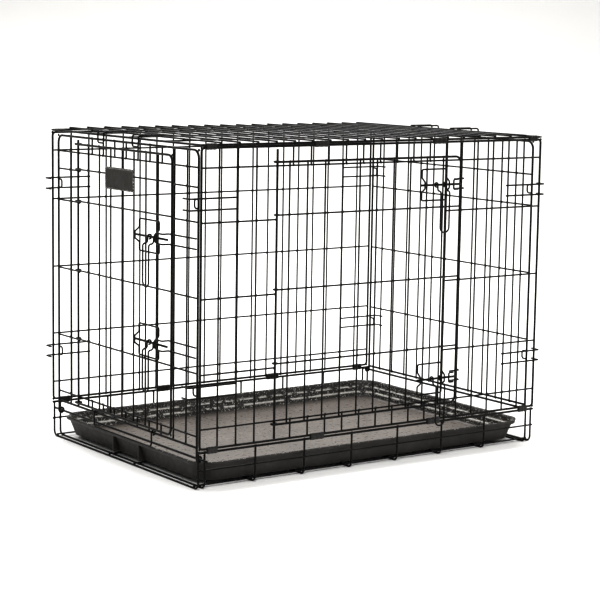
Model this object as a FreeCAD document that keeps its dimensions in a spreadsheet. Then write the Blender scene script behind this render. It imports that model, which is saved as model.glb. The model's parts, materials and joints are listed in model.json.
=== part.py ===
import FreeCAD, Part
import Sketcher
import os
import re
import sys

# A folding wire dog crate: base tray, four folding panels, a lid, two doors with slide bolts, and a pan.
# X runs along the crate with the left end at -X, the front with the large door is at -Y, Z is up.
# The origin is on the floor at the middle of the crate.

SIZES = {
    "crate_length": (638, "outer length of the front and back panels"),
    "crate_depth": (445, "from the front panel's frame wire to the back panel's"),
    "crate_height": (492, "floor to the outside of the side panels' top wire"),
    "frame_radius": (1.75, "radius of frame wires"),
    "mesh_radius": (1.3, "radius of mesh wires"),
    "base_radius": (1.5, "radius of the base's cross wires"),
    "weld_bite": (0.03, "how far two welded wires sink into each other"),
    "butt_bite": (0.05, "how far a wire's end sinks into the wire it meets"),
    "gap": (0.3, "clearance between pieces that move on each other"),
    "fold_height": (60, "centre of the side panels' bottom wire"),
    "side_bend": (5, "corner radius of the side panels' frame"),
    "end_bend": (12, "corner radius of the end panels' frame"),
    "top_gap": (30, "panel top down to the first rail"),
    "second_gap": (58, "panel top down to the end panels' second rail"),
    "bottom_gap": (28.5, "side panel's bottom wire up to its first rail"),
    "end_bottom_gap": (16, "end panel's bottom wire up to its first rail"),
    "rail_spacing": (108.5, "middle rail to the rails above and below it"),
    "end_inset": (13, "end panel's side wire in from the side panels"),
    "end_drop": (5.5, "end panel's top wire below the side panels' top"),
    "leg_inset": (12.5, "first upright of the base in from the crate's end"),
    "base_bend": (8, "corner radius of the base's cross wires"),
    "base_rail_drop": (5, "side panel's bottom wire down to the base's top rail"),
    "middle_rail_height": (28.5, "base's middle rail above the floor"),
    "left_hinge_drop": (17, "left end panel's fold below the side panels' bottom wire"),
    "right_hinge_drop": (5.5, "right end panel's fold below the side panels' bottom wire"),
    "hinge_overhang": (9, "left hinge rail beyond the side panels"),
    "end_eye_play": (0.3, "between an end panel's eye and its hinge rail"),
    "door_eye_play": (0.7, "between a door frame's eye and its post"),
    "floor_wire_offset": (38, "inner long floor wires from the middle"),
    "floor_wire_inset": (14, "outer long floor wires in from the side panels"),
    "front_door_overlap": (21, "front door's free edge past its opening"),
    "front_door_rise": (6, "front door's top wire above the opening's rail"),
    "front_door_drop": (4, "front door's bottom wire below the opening's rail"),
    "front_rail_step": (7, "front door's rails above the panel's rails"),
    "left_door_overlap": (9, "left door's free edge past its opening"),
    "left_door_rise": (14, "left door's top wire above the opening's rail"),
    "left_door_drop": (8, "left door's bottom wire below the opening's rail"),
    "left_rail_step": (3.2, "left door's rails above the panel's rails"),
    "post_clearance": (2, "door post's top below the panel's frame wire"),
    "door_bend": (10, "corner radius of the doors' free edge"),
    "rail_bend": (3, "corner radius where a door's rail turns"),
    "front_upper_bolt_drop": (42, "front door's upper bolt below the door's top wire"),
    "front_lower_bolt_rise": (41.5, "front door's lower bolt above the door's bottom wire"),
    "left_bolt_reach": (78, "left door's bolts above and below the middle"),
    "front_rod_tip": (0.5, "front bolts' tips in from the door's free edge"),
    "front_rod_tail": (80, "front bolts' tails in from the door's free edge"),
    "front_bracket_near": (27.5, "front brackets' near side in from the door's free edge"),
    "front_bracket_far": (75, "front brackets' far side in from the door's free edge"),
    "front_handle_place": (33, "front bolts' handles in from the door's free edge"),
    "front_keeper_rise": (9.5, "front keepers leave the panel, in from the door's free edge"),
    "front_keeper_end": (19, "front keepers' far end in from the door's free edge"),
    "left_rod_tip": (5, "left bolts' tips in from the door's free edge"),
    "left_rod_tail": (101, "left bolts' tails in from the door's free edge"),
    "left_bracket_near": (36, "left brackets' near side in from the door's free edge"),
    "left_bracket_far": (93, "left brackets' far side in from the door's free edge"),
    "left_handle_place": (39.5, "left bolts' handles in from the door's free edge"),
    "left_keeper_rise": (14, "left keepers leave the panel, in from the door's free edge"),
    "left_keeper_end": (31, "left keepers' far end in from the door's free edge"),
    "bolt_radius": (1.75, "radius of the bolt rods"),
    "bracket_half": (23.75, "half the height of a bolt's bracket"),
    "bracket_bump": (5, "bracket's bulge to each side of the rod"),
    "handle_drop": (72, "bolt handle's length"),
    "handle_neck": (9, "bolt handle's legs above their kink"),
    "handle_kink": (8, "how far a bolt handle's kink sets its loop outwards"),
    "handle_bend": (3.9, "bends of a bolt handle"),
    "handle_width": (17, "between the legs of a bolt handle"),
    "keeper_half": (7.5, "keeper's legs above and below the rod"),
    "hook_level": (134.5, "corner hooks above and below the middle"),
    "hook_half": (8.2, "half the distance between the two hooks of a pair"),
    "hook_reach": (14, "corner hook beyond the panel's end"),
    "hook_tip": (18, "length of a corner hook's bent tip"),
    "stop_bulge": (9, "end panel's stop bulges into the panel"),
    "stop_half": (6.5, "half the height of an end panel's stop"),
    "lid_gap": (0.5, "between the side panels' top wires and the lid's frame"),
    "lid_hook_reach": (6, "lid hook beyond the crate's end"),
    "lid_hook_drop": (17, "how far a lid hook comes down"),
    "lid_hook_half": (9, "half the width of a lid hook"),
    "lid_hook_offset": (52, "lid hooks from the middle"),
    "clip_spare": (5, "what a middle clip leaves free between two uprights"),
    "clip_wall": (0.9, "sheet of a clip"),
    "clip_play": (0.15, "clip around its wires"),
    "pan_floor_play": (0.43, "between the base's floor wires and the pan"),
    "pan_rim_drop": (23.5, "pan's rim below the side panels' bottom wire"),
    "pan_wall": (2.4, "pan's wall"),
    "pan_end_play": (7, "pan's rim in from the panels' ends"),
    "pan_side_play": (3, "pan's rim in from the base's uprights"),
    "pan_flare": (9, "how far the pan's walls lean out"),
    "pan_corner": (24, "length cut off each corner of the pan"),
    "pan_lip": (3, "width of the pan's rim"),
    "plate_width": (85, "name plate's width"),
    "plate_height": (33.5, "name plate's height"),
    "plate_thickness": (2, "name plate's thickness"),
    "plate_drop": (60.7, "name plate's middle below the panel's top"),
    "pan_stop_aside": (0.21, "pan stop's legs out from the middle of their bays"),
    "pan_stop_bend": (7, "corner radius of the pan stop"),
    "pan_stop_drop": (21.5, "pan stop's length below the end panel"),
}
SIDE_BAYS = 20
END_BAYS = 12
BASE_BAYS = 7
FRONT_POST = 4
FRONT_JAMB = 14
LEFT_JAMB = 2
LEFT_POST = 10
PAN_STOP_BAYS = 2.5
CURL = 290
MIDDLE_CLIP_BAYS = (6.5, 13.5)
LID_END_CLIP_BAY = 0.5
LID_SHARES = (-0.55, -0.065, 0.42, 0.68)

doc = FreeCAD.newDocument("wire_dog_crate")
sheet = doc.addObject("Spreadsheet::Sheet", "Sizes")
for row, (alias, (value, meaning)) in enumerate(SIZES.items(), start=1):
    sheet.set(f"A{row}", meaning)
    sheet.set(f"B{row}", str(value))
    sheet.setAlias(f"B{row}", alias)
doc.recompute()


# ---------------------------------------------------------------- derived sizes, as expressions
side_edge = "(crate_length / 2 - frame_radius)"
side_pitch = f"(2 * {side_edge} / {SIDE_BAYS})"
end_edge = "(crate_depth / 2 - end_inset)"
end_pitch = f"(2 * {end_edge} / {END_BAYS})"
left_hinge_height = "(fold_height - left_hinge_drop)"
right_hinge_height = "(fold_height - right_hinge_drop)"
end_eye = "(2 * frame_radius + end_eye_play)"
door_eye = "(2 * frame_radius + door_eye_play)"
middle_height = "((fold_height + crate_height) / 2)"
side_top = "(crate_height - frame_radius)"
end_top = "(crate_height - end_drop)"
leg_edge = "(crate_length / 2 - leg_inset)"
leg_side = "(crate_depth / 2 - frame_radius - base_radius + weld_bite)"
end_rail = f"({leg_edge} + base_radius + frame_radius - weld_bite)"
end_plane = f"({end_rail} + {end_eye})"
lid_plane = f"({side_top} + 2 * frame_radius + lid_gap)"
base_rail_height = "(fold_height - base_rail_drop)"
pan_rim_height = "(fold_height - pan_rim_drop)"

# Layers of a panel, measured outwards from its frame wire.
upright_layer = "(weld_bite - frame_radius - mesh_radius)"
rail_layer = f"({upright_layer} + 2 * mesh_radius - weld_bite)"
post_layer = f"({rail_layer} + mesh_radius + frame_radius - weld_bite)"
door_layer = f"({post_layer} + {door_eye})"
door_upright_layer = f"({door_layer} + {upright_layer})"
door_rail_layer = f"({door_layer} + {rail_layer})"
rod_layer = f"({door_layer} + frame_radius + gap + bolt_radius)"
loop_layer = f"({rod_layer} + bolt_radius + gap + mesh_radius)"


def bound(text):
    """An expression that reads its sizes from the sheet."""
    return re.sub(r"[a-z_]+", lambda m: "Sizes." + m.group() if m.group() in SIZES else m.group(), text)


def number(text):
    """The value of an expression now."""
    result = sheet.evalExpression(bound(text))
    return float(getattr(result, "Value", result))


class Face:
    """A flat side of the crate: u runs along it, v up it and n out of it, from a plane off the origin."""

    def __init__(self, u, v, n, plane):
        self.axes = {"u": u, "v": v, "n": n}
        self.plane = plane

    def vector(self, along):
        sign, axis = self.axes[along[0]]
        size = (1 if sign == "+" else -1) * (1 if along[1] == "+" else -1)
        return FreeCAD.Vector(*[size if axis == name else 0 for name in "xyz"])

    def point(self, place):
        """World expressions of a place given as expressions of u, v and n."""
        world = {}
        for key, text in place.items():
            sign, axis = self.axes[key]
            offset = f"{self.plane} + " if key == "n" else ""
            world[axis] = f"{sign}1 * ({offset}{text})"
        return world


FRONT = Face("+x", "+z", "-y", "crate_depth / 2")
BACK = Face("+x", "+z", "+y", "crate_depth / 2")
LEFT = Face("+y", "+z", "-x", end_plane)
RIGHT = Face("+y", "+z", "+x", end_plane)
LID = Face("+x", "+y", "+z", lid_plane)
FLOOR = Face("+x", "+y", "+z", "0")


def at(u, v, n):
    return {"u": u, "v": v, "n": n}


def moved(place, along, length):
    """The place reached by going a length in one direction of a face."""
    there = dict(place)
    there[along[0]] = f"{place[along[0]]} {along[1]} ({length})"
    return there


def put(piece, face, place, x_axis, y_axis):
    """Turns a primitive to two directions and ties its position to the sheet."""
    z_axis = x_axis.cross(y_axis)
    piece.Placement.Rotation = FreeCAD.Rotation(x_axis, y_axis, z_axis, "XYZ")
    for axis, text in face.point(place).items():
        piece.setExpression(f"Placement.Base.{axis}", bound(text))
    return piece


def rod(face, start, along, length, radius):
    """A straight wire from a place."""
    piece = doc.addObject("Part::Cylinder", "rod")
    piece.setExpression("Radius", bound(radius))
    piece.setExpression("Height", bound(length))
    z_axis = face.vector(along)
    x_axis = FreeCAD.Vector(z_axis.y, z_axis.z, z_axis.x)
    return put(piece, face, start, x_axis, z_axis.cross(x_axis))


def arc(face, centre, from_side, towards, bend, radius, angle):
    """A bent wire round a centre: it starts on one side and sets off in a direction."""
    piece = doc.addObject("Part::Torus", "arc")
    piece.setExpression("Radius1", bound(bend))
    piece.setExpression("Radius2", bound(radius))
    piece.Angle3 = angle
    return put(piece, face, centre, face.vector(from_side), face.vector(towards))


def opposite(along):
    return along[0] + ("-" if along[1] == "+" else "+")


def wire(face, start, moves, radius, bend, eyes=("", ""), eye=""):
    """One bent wire: straight moves joined by round bends, with an optional eye curled at either end.
    An eye's entry is the direction from the wire to the eye's centre. A wire that comes back to its
    start is closed."""
    pieces = []
    place = start
    last = len(moves) - 1
    for index, (along, length) in enumerate(moves):
        corner = moved(place, along, length)
        lead = "0" if index == 0 else bend
        tail = "0" if index == last else bend
        pieces.append(rod(face, moved(place, along, lead), along, f"({length}) - {lead} - {tail}", radius))
        if index < last:
            turn = moves[index + 1][0]
            centre = moved(moved(corner, opposite(along), bend), turn, bend)
            pieces.append(arc(face, centre, opposite(turn), along, bend, radius, 90))
        place = corner
    for side, begin, along in ((eyes[0], start, opposite(moves[0][0])), (eyes[1], place, moves[-1][0])):
        if side:
            centre = moved(begin, side, eye)
            pieces.append(arc(face, centre, opposite(side), along, eye, radius, CURL))
    if len(pieces) == 1:
        return pieces[0]
    whole = doc.addObject("Part::MultiFuse", "bent_wire")
    whole.Shapes = pieces
    return whole


nodes = []


def node(name, pieces):
    """Names a sub-part: one piece, or a group of separate pieces of the same kind."""
    if len(pieces) == 1:
        part = pieces[0]
    else:
        part = doc.addObject("Part::Compound", name)
        part.Links = pieces
    part.Label = name
    nodes.append(part)
    return part


# ---------------------------------------------------------------- panels
def closed_frame(face, half_u, low_v, high_v, bend):
    """A frame wire bent into a rectangle, closed in the middle of its lower side."""
    start = at("0", low_v, "0")
    moves = [("u+", half_u), ("v+", f"{high_v} - {low_v}"), ("u-", f"2 * {half_u}"),
             ("v-", f"{high_v} - {low_v}"), ("u+", half_u)]
    return wire(face, start, moves, "frame_radius", bend)


def grid(edge, pitch, index):
    """How far along a panel its wire of that number lies."""
    return f"({index} * {pitch} - {edge})"


def uprights(face, edge, pitch, numbers, low, high, low_radius, high_radius, layer=upright_layer):
    """Mesh wires across a panel, from the wire below to the wire above."""
    length = f"{high} + {high_radius} - {low} + {low_radius}"
    return [rod(face, at(grid(edge, pitch, k), f"({low} - {low_radius})", layer), "v+", length, "mesh_radius")
            for k in numbers]


def rails(face, low_u, high_u, levels, layer=rail_layer, radius="mesh_radius"):
    """Mesh wires along a panel at several levels."""
    return [rod(face, at(low_u, level, layer), "u+", f"{high_u} - {low_u}", radius) for level in levels]


hook_root = f"(2 * {side_pitch} + frame_radius + mesh_radius)"
side_low = "(fold_height + bottom_gap)"
side_high = "(crate_height - top_gap)"
middle_rails = [f"({middle_height} + rail_spacing)", middle_height, f"({middle_height} - rail_spacing)"]
side_inner = f"({side_edge} - frame_radius + butt_bite)"
end_inner = f"({end_edge} - frame_radius + butt_bite)"
post_low = "(fold_height + frame_radius + 2 * gap)"


def corner_hooks(face):
    """Two pairs of hooks at each end of a side panel, bent round the end panels' side wires."""
    layer = f"({upright_layer} - 2 * mesh_radius + weld_bite)"
    hooks = []
    for out in ("-", "+"):
        for level in ("-", "+"):
            for step in ("-", "+"):
                start = at(f"{out}1 * (crate_length / 2 - {hook_root})",
                           f"({middle_height} {level} hook_level {step} hook_half)", layer)
                moves = [("u" + out, f"{hook_root} + hook_reach"), ("n-", "hook_tip")]
                hooks.append(wire(face, start, moves, "mesh_radius", "3"))
    return hooks


def end_stops(face):
    """Small bows on an end panel's side wires, between the hooks of each pair."""
    bows = []
    for side in ("-", "+"):
        inward = "u+" if side == "-" else "u-"
        outward = opposite(inward)
        for level in ("-", "+"):
            start = at(f"{side}1 * {end_inner}", f"({middle_height} {level} hook_level + stop_half)", "0")
            moves = [(inward, "stop_bulge"), ("v-", "2 * stop_half"), (outward, "stop_bulge")]
            bows.append(wire(face, start, moves, "mesh_radius", "4"))
    return bows


def end_frame(face, hinge_height):
    """An end panel's hoop: up one side, over the top and down, with eyes round the hinge rail."""
    start = at(f"-1 * {end_edge}", hinge_height, "0")
    rise = f"{end_top} - {hinge_height}"
    moves = [("v+", rise), ("u+", f"2 * {end_edge}"), ("v-", rise)]
    return wire(face, start, moves, "frame_radius", "end_bend", ("n-", "n-"), end_eye)


# Back panel.
node("back_panel_frame", [closed_frame(BACK, side_edge, "fold_height", side_top, "side_bend")])
node("back_panel_uprights", uprights(BACK, side_edge, side_pitch, range(1, SIDE_BAYS),
                                     "fold_height", side_top, "frame_radius", "frame_radius"))
node("back_panel_rails", rails(BACK, f"-1 * {side_inner}", side_inner, [side_low, side_high] + middle_rails))
node("back_corner_hooks", corner_hooks(BACK))

# Front panel, open for the front door between its hinge post and its jamb.
front_post = grid(side_edge, side_pitch, FRONT_POST)
front_jamb = grid(side_edge, side_pitch, FRONT_JAMB)
node("front_panel_frame", [closed_frame(FRONT, side_edge, "fold_height", side_top, "side_bend")])
whole_numbers = [k for k in range(1, SIDE_BAYS) if k < FRONT_POST or k >= FRONT_JAMB]
short_numbers = range(FRONT_POST + 1, FRONT_JAMB)
node("front_panel_uprights",
     uprights(FRONT, side_edge, side_pitch, whole_numbers, "fold_height", side_top, "frame_radius", "frame_radius")
     + uprights(FRONT, side_edge, side_pitch, short_numbers, "fold_height", side_low, "frame_radius", "mesh_radius")
     + uprights(FRONT, side_edge, side_pitch, short_numbers, side_high, side_top, "mesh_radius", "frame_radius"))
node("front_panel_rails",
     rails(FRONT, f"-1 * {side_inner}", side_inner, [side_low, side_high])
     + rails(FRONT, f"-1 * {side_inner}", f"({front_post} + frame_radius)", middle_rails)
     + rails(FRONT, f"({front_jamb} - mesh_radius)", side_inner, middle_rails))
node("front_door_post", [rod(FRONT, at(front_post, post_low, post_layer), "v+",
                             f"{side_top} - frame_radius - post_clearance - {post_low}", "frame_radius")])
node("front_corner_hooks", corner_hooks(FRONT))

# Left end panel, open for the left door.
end_low = "(fold_height + end_bottom_gap)"
end_second = "(crate_height - second_gap)"
left_post = grid(end_edge, end_pitch, LEFT_POST)
left_jamb = grid(end_edge, end_pitch, LEFT_JAMB)
node("left_end_frame", [end_frame(LEFT, left_hinge_height)])
node("left_end_bottom_wire", rails(LEFT, f"-1 * {end_inner}", end_inner, ["fold_height"], "0", "frame_radius"))
left_numbers = [k for k in range(1, END_BAYS) if k <= LEFT_JAMB or k > LEFT_POST]
left_short = range(LEFT_JAMB + 1, LEFT_POST)
node("left_end_uprights",
     uprights(LEFT, end_edge, end_pitch, left_numbers, "fold_height", end_top, "frame_radius", "frame_radius")
     + uprights(LEFT, end_edge, end_pitch, left_short, "fold_height", end_low, "frame_radius", "mesh_radius")
     + uprights(LEFT, end_edge, end_pitch, left_short, side_high, end_top, "mesh_radius", "frame_radius"))
node("left_end_rails",
     rails(LEFT, f"-1 * {end_inner}", end_inner, [end_low, side_high])
     + rails(LEFT, f"-1 * {end_inner}", f"({left_jamb} + mesh_radius)", [end_second] + middle_rails)
     + rails(LEFT, f"({left_post} - frame_radius)", end_inner, [end_second] + middle_rails))
node("left_door_post", [rod(LEFT, at(left_post, post_low, post_layer), "v+",
                            f"{end_top} - frame_radius - post_clearance - {post_low}", "frame_radius")])
node("left_end_stops", end_stops(LEFT))

# Right end panel.
node("right_end_frame", [end_frame(RIGHT, right_hinge_height)])
node("right_end_bottom_wire", rails(RIGHT, f"-1 * {end_inner}", end_inner, ["fold_height"], "0", "frame_radius"))
node("right_end_uprights", uprights(RIGHT, end_edge, end_pitch, range(1, END_BAYS),
                                    "fold_height", end_top, "frame_radius", "frame_radius"))
node("right_end_rails", rails(RIGHT, f"-1 * {end_inner}", end_inner, [end_second] + middle_rails))
node("right_end_stops", end_stops(RIGHT))

# Lid: cross wires run over its frame, long wires lie between its short sides.
lid_edge = "(crate_depth / 2)"
lid_cross_layer = "(frame_radius + mesh_radius - weld_bite)"
lid_long_layer = f"({lid_cross_layer} - 2 * mesh_radius + weld_bite)"
lid_hook_layer = f"({lid_cross_layer} + 2 * mesh_radius - weld_bite)"
node("lid_frame", [closed_frame(LID, side_edge, f"-1 * {lid_edge}", lid_edge, "side_bend")])
node("lid_cross_wires", [rod(LID, at(grid(side_edge, side_pitch, k), f"(-1 * {lid_edge} - frame_radius)",
                                     lid_cross_layer), "v+", f"2 * {lid_edge} + 2 * frame_radius", "mesh_radius")
                         for k in range(1, SIDE_BAYS)])
lid_levels = [f"({lid_edge} * {share})" for share in LID_SHARES]
node("lid_long_wires", rails(LID, f"-1 * {side_inner}", side_inner, lid_levels, lid_long_layer))


def lid_hooks():
    """Staples on the lid's short sides that drop down outside the end panels' top wires."""
    staples = []
    for out in ("-", "+"):
        for side in ("-", "+"):
            start = at(f"{out}1 * ({side_edge} - 1.2 * {side_pitch})",
                       f"({side}1 * lid_hook_offset - lid_hook_half)", lid_hook_layer)
            run = f"1.2 * {side_pitch} + frame_radius + lid_hook_reach"
            moves = [("u" + out, run), ("n-", "lid_hook_drop"), ("v+", "2 * lid_hook_half"),
                     ("n+", "lid_hook_drop"), ("u" + ("+" if out == "-" else "-"), run)]
            staples.append(wire(LID, start, moves, "mesh_radius", "4"))
    return staples


node("lid_end_hooks", lid_hooks())


# ---------------------------------------------------------------- doors and their slide bolts
def door_frame(face, post, edge, low, high, out):
    """A door's bent wire: from an eye on the post, round the free edge, back to an eye on the post."""
    moves = [("u" + out, f"{out}1 * ({edge} - {post})"), ("v-", f"{high} - {low}"),
             (opposite("u" + out), f"{out}1 * ({edge} - {post})")]
    return wire(face, at(post, high, door_layer), moves, "frame_radius", "door_bend", ("n-", "n-"), door_eye)


def door_rails(face, post, edge, levels, out):
    """A door's rails, each with an eye round the post."""
    span = f"{out}1 * ({edge} - {post}) - frame_radius + butt_bite"
    eye = f"({door_rail_layer} - {post_layer})"
    return [wire(face, at(post, level, door_rail_layer), [("u" + out, span)], "mesh_radius", "rail_bend",
                 ("n-", ""), eye)
            for level in levels]


def bolt_bracket(face, edge, level, out, door):
    """A flat wire loop on a door whose two sides bulge out over the bolt's rod."""
    back = opposite("u" + out)
    near = f"{door}_bracket_near"
    far = f"{door}_bracket_far"
    bulge = f"({loop_layer} - {door_rail_layer})"
    rise = "bracket_half - bracket_bump"
    middle = f"({edge} {back[1]} ({near} + {far}) / 2)"
    start = at(middle, f"({level} - bracket_half)", door_rail_layer)
    side_up = [("v+", rise), ("n+", bulge), ("v+", "2 * bracket_bump"), ("n-", bulge), ("v+", rise)]
    side_down = [("v-", rise), ("n+", bulge), ("v-", "2 * bracket_bump"), ("n-", bulge), ("v-", rise)]
    half = f"({far} - {near}) / 2"
    moves = ([(back, half)] + side_up + [("u" + out, f"{far} - {near}")] + side_down + [(back, half)])
    return wire(face, start, moves, "mesh_radius", "2.6")


def bolt_rod(face, edge, level, out, door):
    """The rod of a slide bolt."""
    back = opposite("u" + out)
    start = at(f"({edge} {back[1]} {door}_rod_tip)", level, rod_layer)
    return rod(face, start, back, f"{door}_rod_tail - {door}_rod_tip", "bolt_radius")


def bolt_handle(face, edge, level, out, door):
    """The long loop that hangs on a bolt's rod by two eyes."""
    back = opposite("u" + out)
    start = at(f"({edge} {back[1]} {door}_handle_place)", level, loop_layer)
    moves = [("v-", "handle_neck"), ("n+", "handle_kink"), ("v-", "handle_drop - handle_neck"),
             (back, "handle_width"),
             ("v+", "handle_drop - handle_neck"), ("n-", "handle_kink"), ("v+", "handle_neck")]
    return wire(face, start, moves, "mesh_radius", "handle_bend", ("n-", "n-"), f"({loop_layer} - {rod_layer})")


def bolt_keeper(face, edge, level, out, door, root, sunk):
    """A keeper on the panel: its loop stands out in front of the rod, so that the bolt holds the door."""
    back = opposite("u" + out)
    layer = "(frame_radius + mesh_radius - weld_bite)"
    lift = f"({loop_layer} + gap - {layer})"
    run = f"{root} + {door}_keeper_rise"
    cover = f"{door}_keeper_end - {door}_keeper_rise"
    moves = [(back, run), ("n+", lift), (back, cover), ("v-", "2 * keeper_half"),
             ("u" + out, cover), ("n-", lift), ("u" + out, run)]
    foot = layer
    if sunk:
        foot = f"({upright_layer} + mesh_radius - weld_bite)"
        moves = [("n+", f"{layer} - {foot}")] + moves + [("n-", f"{layer} - {foot}")]
    start = at(f"({edge} {out} {root})", f"({level} + keeper_half)", foot)
    return wire(face, start, moves, "mesh_radius", "2.2")


# Front door, hinged at its left.
front_edge = f"({front_jamb} + front_door_overlap)"
front_door_low = f"({side_low} - front_door_drop)"
front_door_high = f"({side_high} + front_door_rise)"
front_door_rails = [f"({level} + front_rail_step)" for level in middle_rails]
front_levels = {"upper": f"({front_door_high} - front_upper_bolt_drop)",
                "lower": f"({front_door_low} + front_lower_bolt_rise)"}
node("front_door_frame", [door_frame(FRONT, front_post, front_edge, front_door_low, front_door_high, "+")])
node("front_door_uprights", [
    rod(FRONT, at(f"({front_edge} - {k} * {side_pitch})", f"({front_door_low} - frame_radius)", door_upright_layer),
        "v+", f"{front_door_high} - {front_door_low} + 2 * frame_radius", "mesh_radius")
    for k in range(1, FRONT_JAMB - FRONT_POST + 1)])
node("front_door_rails", door_rails(FRONT, front_post, front_edge, front_door_rails, "+"))
node("front_bolt_brackets", [bolt_bracket(FRONT, front_edge, level, "+", "front")
                             for level in front_levels.values()])
node("front_bolt_keepers", [bolt_keeper(FRONT, front_edge, level, "+", "front",
                                        f"({side_pitch} - front_door_overlap)", True)
                            for level in front_levels.values()])
for word, level in front_levels.items():
    node(f"front_{word}_bolt_rod", [bolt_rod(FRONT, front_edge, level, "+", "front")])
    node(f"front_{word}_bolt_handle", [bolt_handle(FRONT, front_edge, level, "+", "front")])

# Left door, hinged towards the back, so that its free edge is at -Y.
left_edge = f"({left_jamb} - left_door_overlap)"
left_door_low = f"({end_low} - left_door_drop)"
left_door_high = f"({side_high} + left_door_rise)"
left_door_rails = [f"({level} + left_rail_step)" for level in [end_second] + middle_rails]
left_levels = {"upper": f"({middle_height} + left_bolt_reach)",
               "lower": f"({middle_height} - left_bolt_reach)"}
node("left_door_frame", [door_frame(LEFT, left_post, left_edge, left_door_low, left_door_high, "-")])
node("left_door_uprights", uprights(LEFT, end_edge, end_pitch, left_short, left_door_low, left_door_high,
                                    "frame_radius", "frame_radius", door_upright_layer))
node("left_door_rails", door_rails(LEFT, left_post, left_edge, left_door_rails, "-"))
node("left_bolt_brackets", [bolt_bracket(LEFT, left_edge, level, "-", "left")
                            for level in left_levels.values()])
node("left_bolt_keepers", [bolt_keeper(LEFT, left_edge, level, "-", "left", f"({left_edge} + {end_edge})", False)
                           for level in left_levels.values()])
for word, level in left_levels.items():
    node(f"left_{word}_bolt_rod", [bolt_rod(LEFT, left_edge, level, "-", "left")])
    node(f"left_{word}_bolt_handle", [bolt_handle(LEFT, left_edge, level, "-", "left")])

plate = doc.addObject("Part::Box", "plate")
plate.setExpression("Length", bound("plate_width"))
plate.setExpression("Width", bound("plate_height"))
plate.setExpression("Height", bound("plate_thickness"))
put(plate, LEFT, at("(-1 * plate_width / 2)", "(crate_height - plate_drop + plate_height / 2)",
                    f"({door_rail_layer} + mesh_radius)"), LEFT.vector("u+"), LEFT.vector("v-"))
node("name_plate", [plate])

pan_stop_layer = "(frame_radius + gap + mesh_radius)"
pan_stop_half = f"({PAN_STOP_BAYS} * {end_pitch} + pan_stop_aside)"
node("pan_stop", [wire(LEFT, at(f"(-1 * {pan_stop_half})", "fold_height", pan_stop_layer),
                       [("v-", "pan_stop_drop"), ("u+", f"2 * {pan_stop_half}"), ("v+", "pan_stop_drop")],
                       "mesh_radius", "pan_stop_bend", ("n-", "n-"), pan_stop_layer)])


# ---------------------------------------------------------------- base
def base_cross_wire(place):
    """A floor wire bent up at both ends into the base's uprights."""
    top = f"({base_rail_height} + frame_radius)"
    rise = f"({top} - base_radius)"
    return wire(FLOOR, at(place, f"(-1 * {leg_side})", top),
                [("n-", rise), ("v+", f"2 * {leg_side}"), ("n+", rise)], "base_radius", "base_bend")


base_pitch = f"(2 * {leg_edge} / {BASE_BAYS})"
node("base_cross_wires", [base_cross_wire(f"({k} * {base_pitch} - {leg_edge})")
                          for k in range(BASE_BAYS + 1)])
node("base_end_wires", [base_cross_wire(f"({side}1 * {side_edge})") for side in "-+"])
long_level = "(2 * base_radius + mesh_radius - weld_bite)"
long_places = ["(floor_wire_inset - crate_depth / 2)", "(-1 * floor_wire_offset)", "floor_wire_offset",
               "(crate_depth / 2 - floor_wire_inset)"]
node("base_floor_wires", [rod(FLOOR, at(f"(-1 * {side_edge} - base_radius)", place, long_level), "u+",
                              f"2 * {side_edge} + 2 * base_radius", "mesh_radius") for place in long_places])
for word, face in (("front", FRONT), ("back", BACK)):
    node(f"base_{word}_top_rail", rails(face, "(-1 * crate_length / 2)", "(crate_length / 2)",
                                        [base_rail_height], "0", "frame_radius"))
    node(f"base_{word}_middle_rail", rails(face, "(-1 * crate_length / 2)", "(crate_length / 2)",
                                           ["middle_rail_height"], "(mesh_radius - frame_radius)"))
node("left_hinge_rail", rails(LEFT, "(-1 * crate_depth / 2 - hinge_overhang)",
                              "(crate_depth / 2 + hinge_overhang)",
                              [left_hinge_height], f"(-1 * {end_eye})", "frame_radius"))
node("right_hinge_rail", rails(RIGHT, f"(-1 * {leg_side} - base_radius + gap)",
                               f"({leg_side} + base_radius - gap)",
                               [right_hinge_height], f"(-1 * {end_eye})", "frame_radius"))


def capsule(face, u, low, high, radius, length):
    """A flat-sided bar whose section is a box with round ends, lying along a panel's edge."""
    ends = [rod(face, at(u, level, "0"), "u+", length, radius) for level in (low, high)]
    middle = doc.addObject("Part::Box", "middle")
    middle.setExpression("Length", bound(length))
    middle.setExpression("Width", bound(f"{high} - {low}"))
    middle.setExpression("Height", bound(f"2 * {radius}"))
    put(middle, face, at(u, low, f"(-1 * {radius})"), face.vector("u+"), face.vector("v+"))
    if face.vector("u+").cross(face.vector("v+")) != face.vector("n+"):
        middle.setExpression("Placement.Base.y", bound(face.point(at(u, low, radius))["y"]))
    whole = doc.addObject("Part::MultiFuse", "capsule")
    whole.Shapes = ends + [middle]
    return whole


# A middle clip nearly fills a bay. The base's end clips fill what its first upright leaves of one.
clip_length = f"({side_pitch} - 2 * mesh_radius - clip_spare)"
end_clip_length = f"({leg_edge} - base_radius - {side_edge} + {side_pitch} - mesh_radius - 4 * gap)"
base_end_clip = f"({leg_edge} - base_radius - 2 * gap - {end_clip_length} / 2)"
lid_end_clip = f"({side_edge} - {LID_END_CLIP_BAY} * {side_pitch})"


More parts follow.
